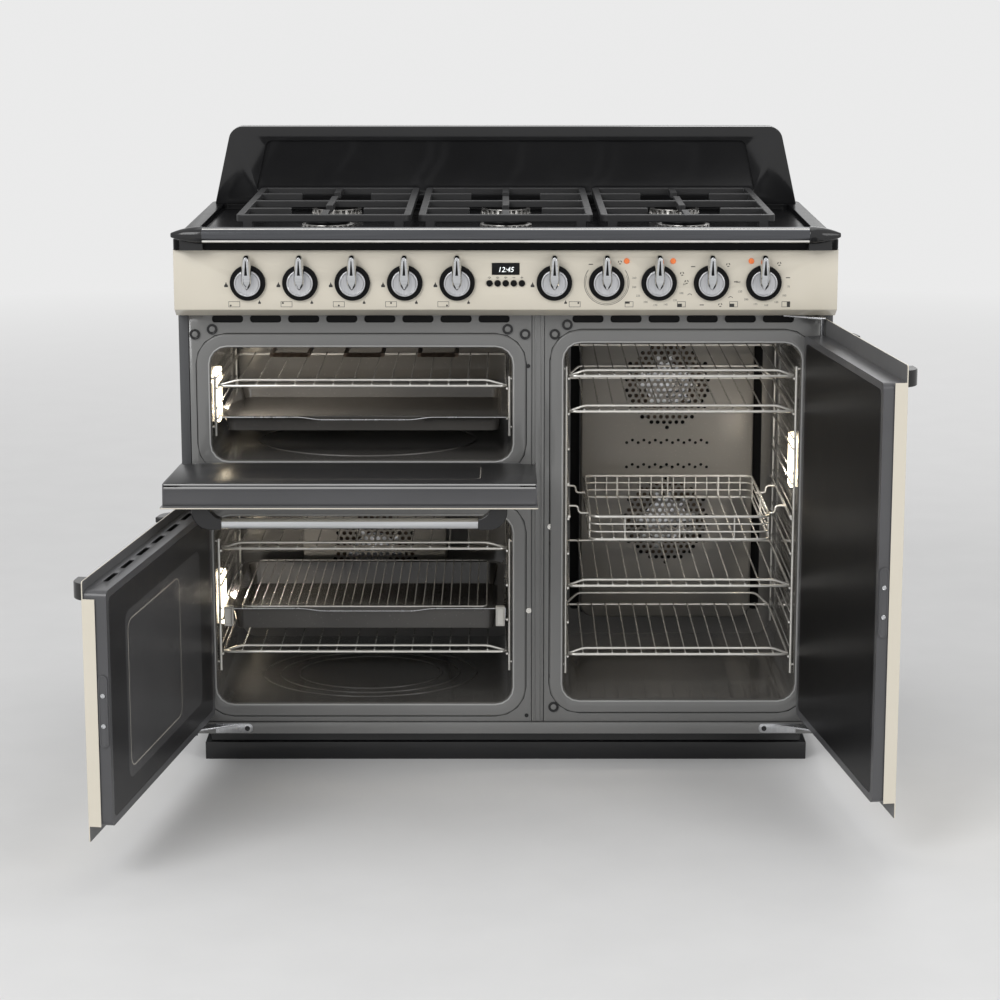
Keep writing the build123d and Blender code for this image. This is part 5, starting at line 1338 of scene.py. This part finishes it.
def grill_door_face():
    """Glass over the grill door's inside, its grey cheeks and front band, and two bright edge lines, painted
    highlights along the top of the door's box.
    """
    x0, x1, foot, top = -547.4, 50.2, 505.0, 757.0
    glass = block("grill_inner_glass", x0 + 1, x1 - 1, -262.95, -261.9, 528, top + 0.6)
    round_edges(glass, along_y, 6.0, 3)
    finish(soften(glass, 0.25), GLASS, "grill_door")
    cheeks = [block("grill_cheek_a", x0, x0 + 2, -297.5, -263.4, foot, top),
              block("grill_cheek_b", x1 - 2, x1, -297.5, -263.4, foot, top)]
    for cheek in cheeks:
        shaped(cheek, (lambda p, n: abs(n.x) > 0.9 and (p.x < x0 + 0.1 or p.x > x1 - 0.1), 4.0, -0.5))
    strip = block("grill_band", x0, x1, -297.5, -271.0, top - 2.4, top + 1.2)
    cheeks.append(shaped(strip, (faces_up, 3.0, -0.5)))
    band = finish(soften(join(cheeks, "grill_door_band"), 0.4), LINER, "grill_door")
    # Painted highlights along the box's top edges.
    lines = []
    for n, (y0, y1) in enumerate(((-265.6, -263.2), (-270.8, -268.4))):
        strip = block(f"grill_edge_highlight_{n}", x0 + 2, x1 - 2, y0, y1, top - 2.4, top + 1.4)
        round_edges(strip, lambda p, n: along_y(p, n) and p.z > top, 2.0, 3)
        lines.append(soften(strip, 0.2))
    lines = finish(join(lines, "grill_edge_highlight_lines"), EDGE, "grill_door")
    for piece in (glass, band, lines):
        swing(piece, GRILL_SWING)


def catch(name, edge_x, outward, z0, z1, hinge, body):
    """Long leaf-shaped catch plate on the free edge of a door's box, with two screws."""
    x0, x1 = sorted((edge_x, edge_x + outward * 2.6))
    faces_out = lambda p, n: n.x * outward > 0.9
    plate = block(name, x0, x1, -279, -264.6, z0, z1)
    round_edges(plate, lambda p, n: abs(n.x) > 0.9, 6.8, 4)
    finish(soften(shaped(plate, (faces_out, 2.5, -0.8)), 0.5), LINER, body)
    swing(plate, hinge)
    screws = []
    for n, share in enumerate((0.3, 0.72)):
        centre = (edge_x + outward * 2.2, -271.8, z0 + (z1 - z0) * share)
        head = drum(f"{name}_screw_{n}", centre, 3.6, 2.4, "X", 18)
        screws.append(soften(shaped(head, (faces_out, 1.1, -0.7)), 0.4))
    finish(join(screws, f"{name}_screws"), CHROME, body)
    swing(screws[0], hinge)


def door_handle(node, name, body):
    """Chromed bar between two black curved arms."""
    parts = loose_parts(cast(node, name))
    stand_for(settle(parts[0], f"{name}_bar"), node, CHROME)
    arms = join(parts[1:], f"{name}_arms")
    finish(soften(arms, 1.6, 3, 30), BLACK_GLOSS, body)


def doors():
    for door, hinge in (("tall", TALL_SWING), ("main", MAIN_SWING), ("grill", GRILL_SWING)):
        door_skin(f"{door}_door_skin", f"{door}_skin", hinge)
    door_box("tall_door_liner", "tall_box", TALL_SWING, "tall_door", DARK_GLASS)
    door_box("main_door_liner", "main_box", MAIN_SWING, "main_door", GLASS, SLOT_XS)
    door_box("grill_door_liner", "grill_box", GRILL_SWING, "grill_door", GLASS)
    window_plate("main_sight_window", -457, -40.25, 143, 408, -262.9, SIGHT, MAIN_SWING, "main_door")
    window_plate("main_sight_line", -336, -52, 158, 393, -262.8, TINT, MAIN_SWING, "main_door", 2.4)
    grill_door_face()
    window_plate("grill_sight_line", -457, -40.25, 554, 714, -261.8, TINT, GRILL_SWING, "grill_door", 1.6)
    catch("main_catch", 48.75, 1, 223, 335, MAIN_SWING, "main_door")
    catch("tall_catch", 60.75, -1, 363, 473, TALL_SWING, "tall_door")
    for door in ("tall", "main", "grill"):
        door_handle(f"{door}_door_handle", f"{door}_handle", f"{door}_door")


# Stage

BACKDROP = srgb(240, 240, 240)
SKY_LEVELS = (0.6, 0.95)
FLOOR_FADE = (1.6, 6.0)
# Name, place, size and power of the studio lights, in metres and watts
STUDIO_LIGHTS = (("key", (-2.6, -4.2, 3.6), 2.6, 124.0), ("fill", (3.4, -3.6, 2.2), 2.4, 52.0),
                 ("top", (0.2, 0.4, 3.8), 2.4, 25.0), ("rear", (1.5, 4.0, 3.0), 2.4, 25.0))
STUDIO_AIM = (0, -0.2, 0.5)
# Name, place, aim and power of the light at each oven's lens
OVEN_LIGHTS = (("tall_oven", (0.483, -0.16, 0.519), (0.2, 0.06, 0.45), 1.0),
               ("grill_oven", (-0.483, -0.16, 0.6345), (-0.1, 0.02, 0.6), 1.3),
               ("main_oven", (-0.483, -0.16, 0.275), (-0.1, 0.02, 0.22), 1.8))
LAMP_COLOUR = (1.0, 0.92, 0.81)
LAMP_SIZE = 0.05
EYE = (0, -4.608, 1.425)
EYE_TILT = 0.1973
SENSOR = 36.0
LENS = 94.1
FRAME_SHIFT = (-0.0057, -0.05)


def seen_strength(tree, dim, plain):
    """Strength for the eye, mirrors and glass, and a lower one for the light on the object."""
    path = tree.nodes.new("ShaderNodeLightPath")
    seen = math(tree, "MAXIMUM", path.outputs["Is Camera Ray"],
                math(tree, "MAXIMUM", path.outputs["Is Glossy Ray"], path.outputs["Is Transmission Ray"]))
    return span_map(tree, seen, 0.0, 1.0, dim, plain)


def pale_floor():
    """Matt floor that runs out into the colour of the background."""
    deselect()
    bpy.ops.mesh.primitive_plane_add(size=60, location=(0, 0, 0))
    floor = settle(bpy.context.object, "studio_floor")
    made = Finish("pale floor")
    grain = made.group(GRAIN, Scale=40.0)
    made.colour(made.mix(grain.outputs["Tone"], srgb(226, 226, 226), srgb(223, 223, 223)))
    made.set(Roughness=0.7, Specular_IOR_Level=0.2)
    tree = made.tree
    far = tree.nodes.new("ShaderNodeVectorMath")
    far.operation = "LENGTH"
    tree.links.new(made.place, far.inputs[0])
    glow = tree.nodes.new("ShaderNodeEmission")
    glow.inputs["Color"].default_value = BACKDROP
    tree.links.new(seen_strength(tree, *SKY_LEVELS), glow.inputs["Strength"])
    blend = tree.nodes.new("ShaderNodeMixShader")
    tree.links.new(span_map(tree, far.outputs["Value"], *FLOOR_FADE, 0.0, 1.0), blend.inputs["Fac"])
    tree.links.new(made.shader.outputs["BSDF"], blend.inputs[1])
    tree.links.new(glow.outputs["Emission"], blend.inputs[2])
    tree.links.new(blend.outputs["Shader"], tree.nodes["Material Output"].inputs["Surface"])
    floor.data.materials.append(made.material)


def soft_light(name, place, aim, size, power, colour=(1, 1, 1)):
    deselect()
    bpy.ops.object.light_add(type="AREA", location=place)
    lamp = bpy.context.object
    lamp.name = f"{name}_light"
    lamp.data.energy = power
    lamp.data.size = size
    lamp.data.color = colour
    lamp.rotation_euler = (Vector(aim) - Vector(place)).to_track_quat("-Z", "Y").to_euler()
    return lamp


def stage():
    pale_floor()
    world = bpy.data.worlds.new("studio")
    bpy.context.scene.world = world
    world.use_nodes = True
    sky = world.node_tree.nodes["Background"]
    sky.inputs["Color"].default_value = BACKDROP
    world.node_tree.links.new(seen_strength(world.node_tree, *SKY_LEVELS), sky.inputs["Strength"])

    for name, place, size, power in STUDIO_LIGHTS:
        soft_light(name, place, STUDIO_AIM, size, power)
    for name, place, aim, power in OVEN_LIGHTS:
        lamp = soft_light(name, place, aim, LAMP_SIZE, power, LAMP_COLOUR)
        lamp.visible_camera = False
        lamp.visible_glossy = False

    deselect()
    bpy.ops.object.camera_add(location=EYE, rotation=(pi / 2 - EYE_TILT, 0, 0))
    camera = bpy.context.object
    camera.data.sensor_width = SENSOR
    camera.data.lens = LENS
    camera.data.shift_x, camera.data.shift_y = FRAME_SHIFT
    bpy.context.scene.camera = camera
    bpy.context.scene.view_settings.view_transform = "Standard"


casing()
frame_plugs()
mouth_trims()
hinge_plates()
vent_shades()
hob()
controls()
ovens()
shelf_supports()
shelves()
doors()
stage()
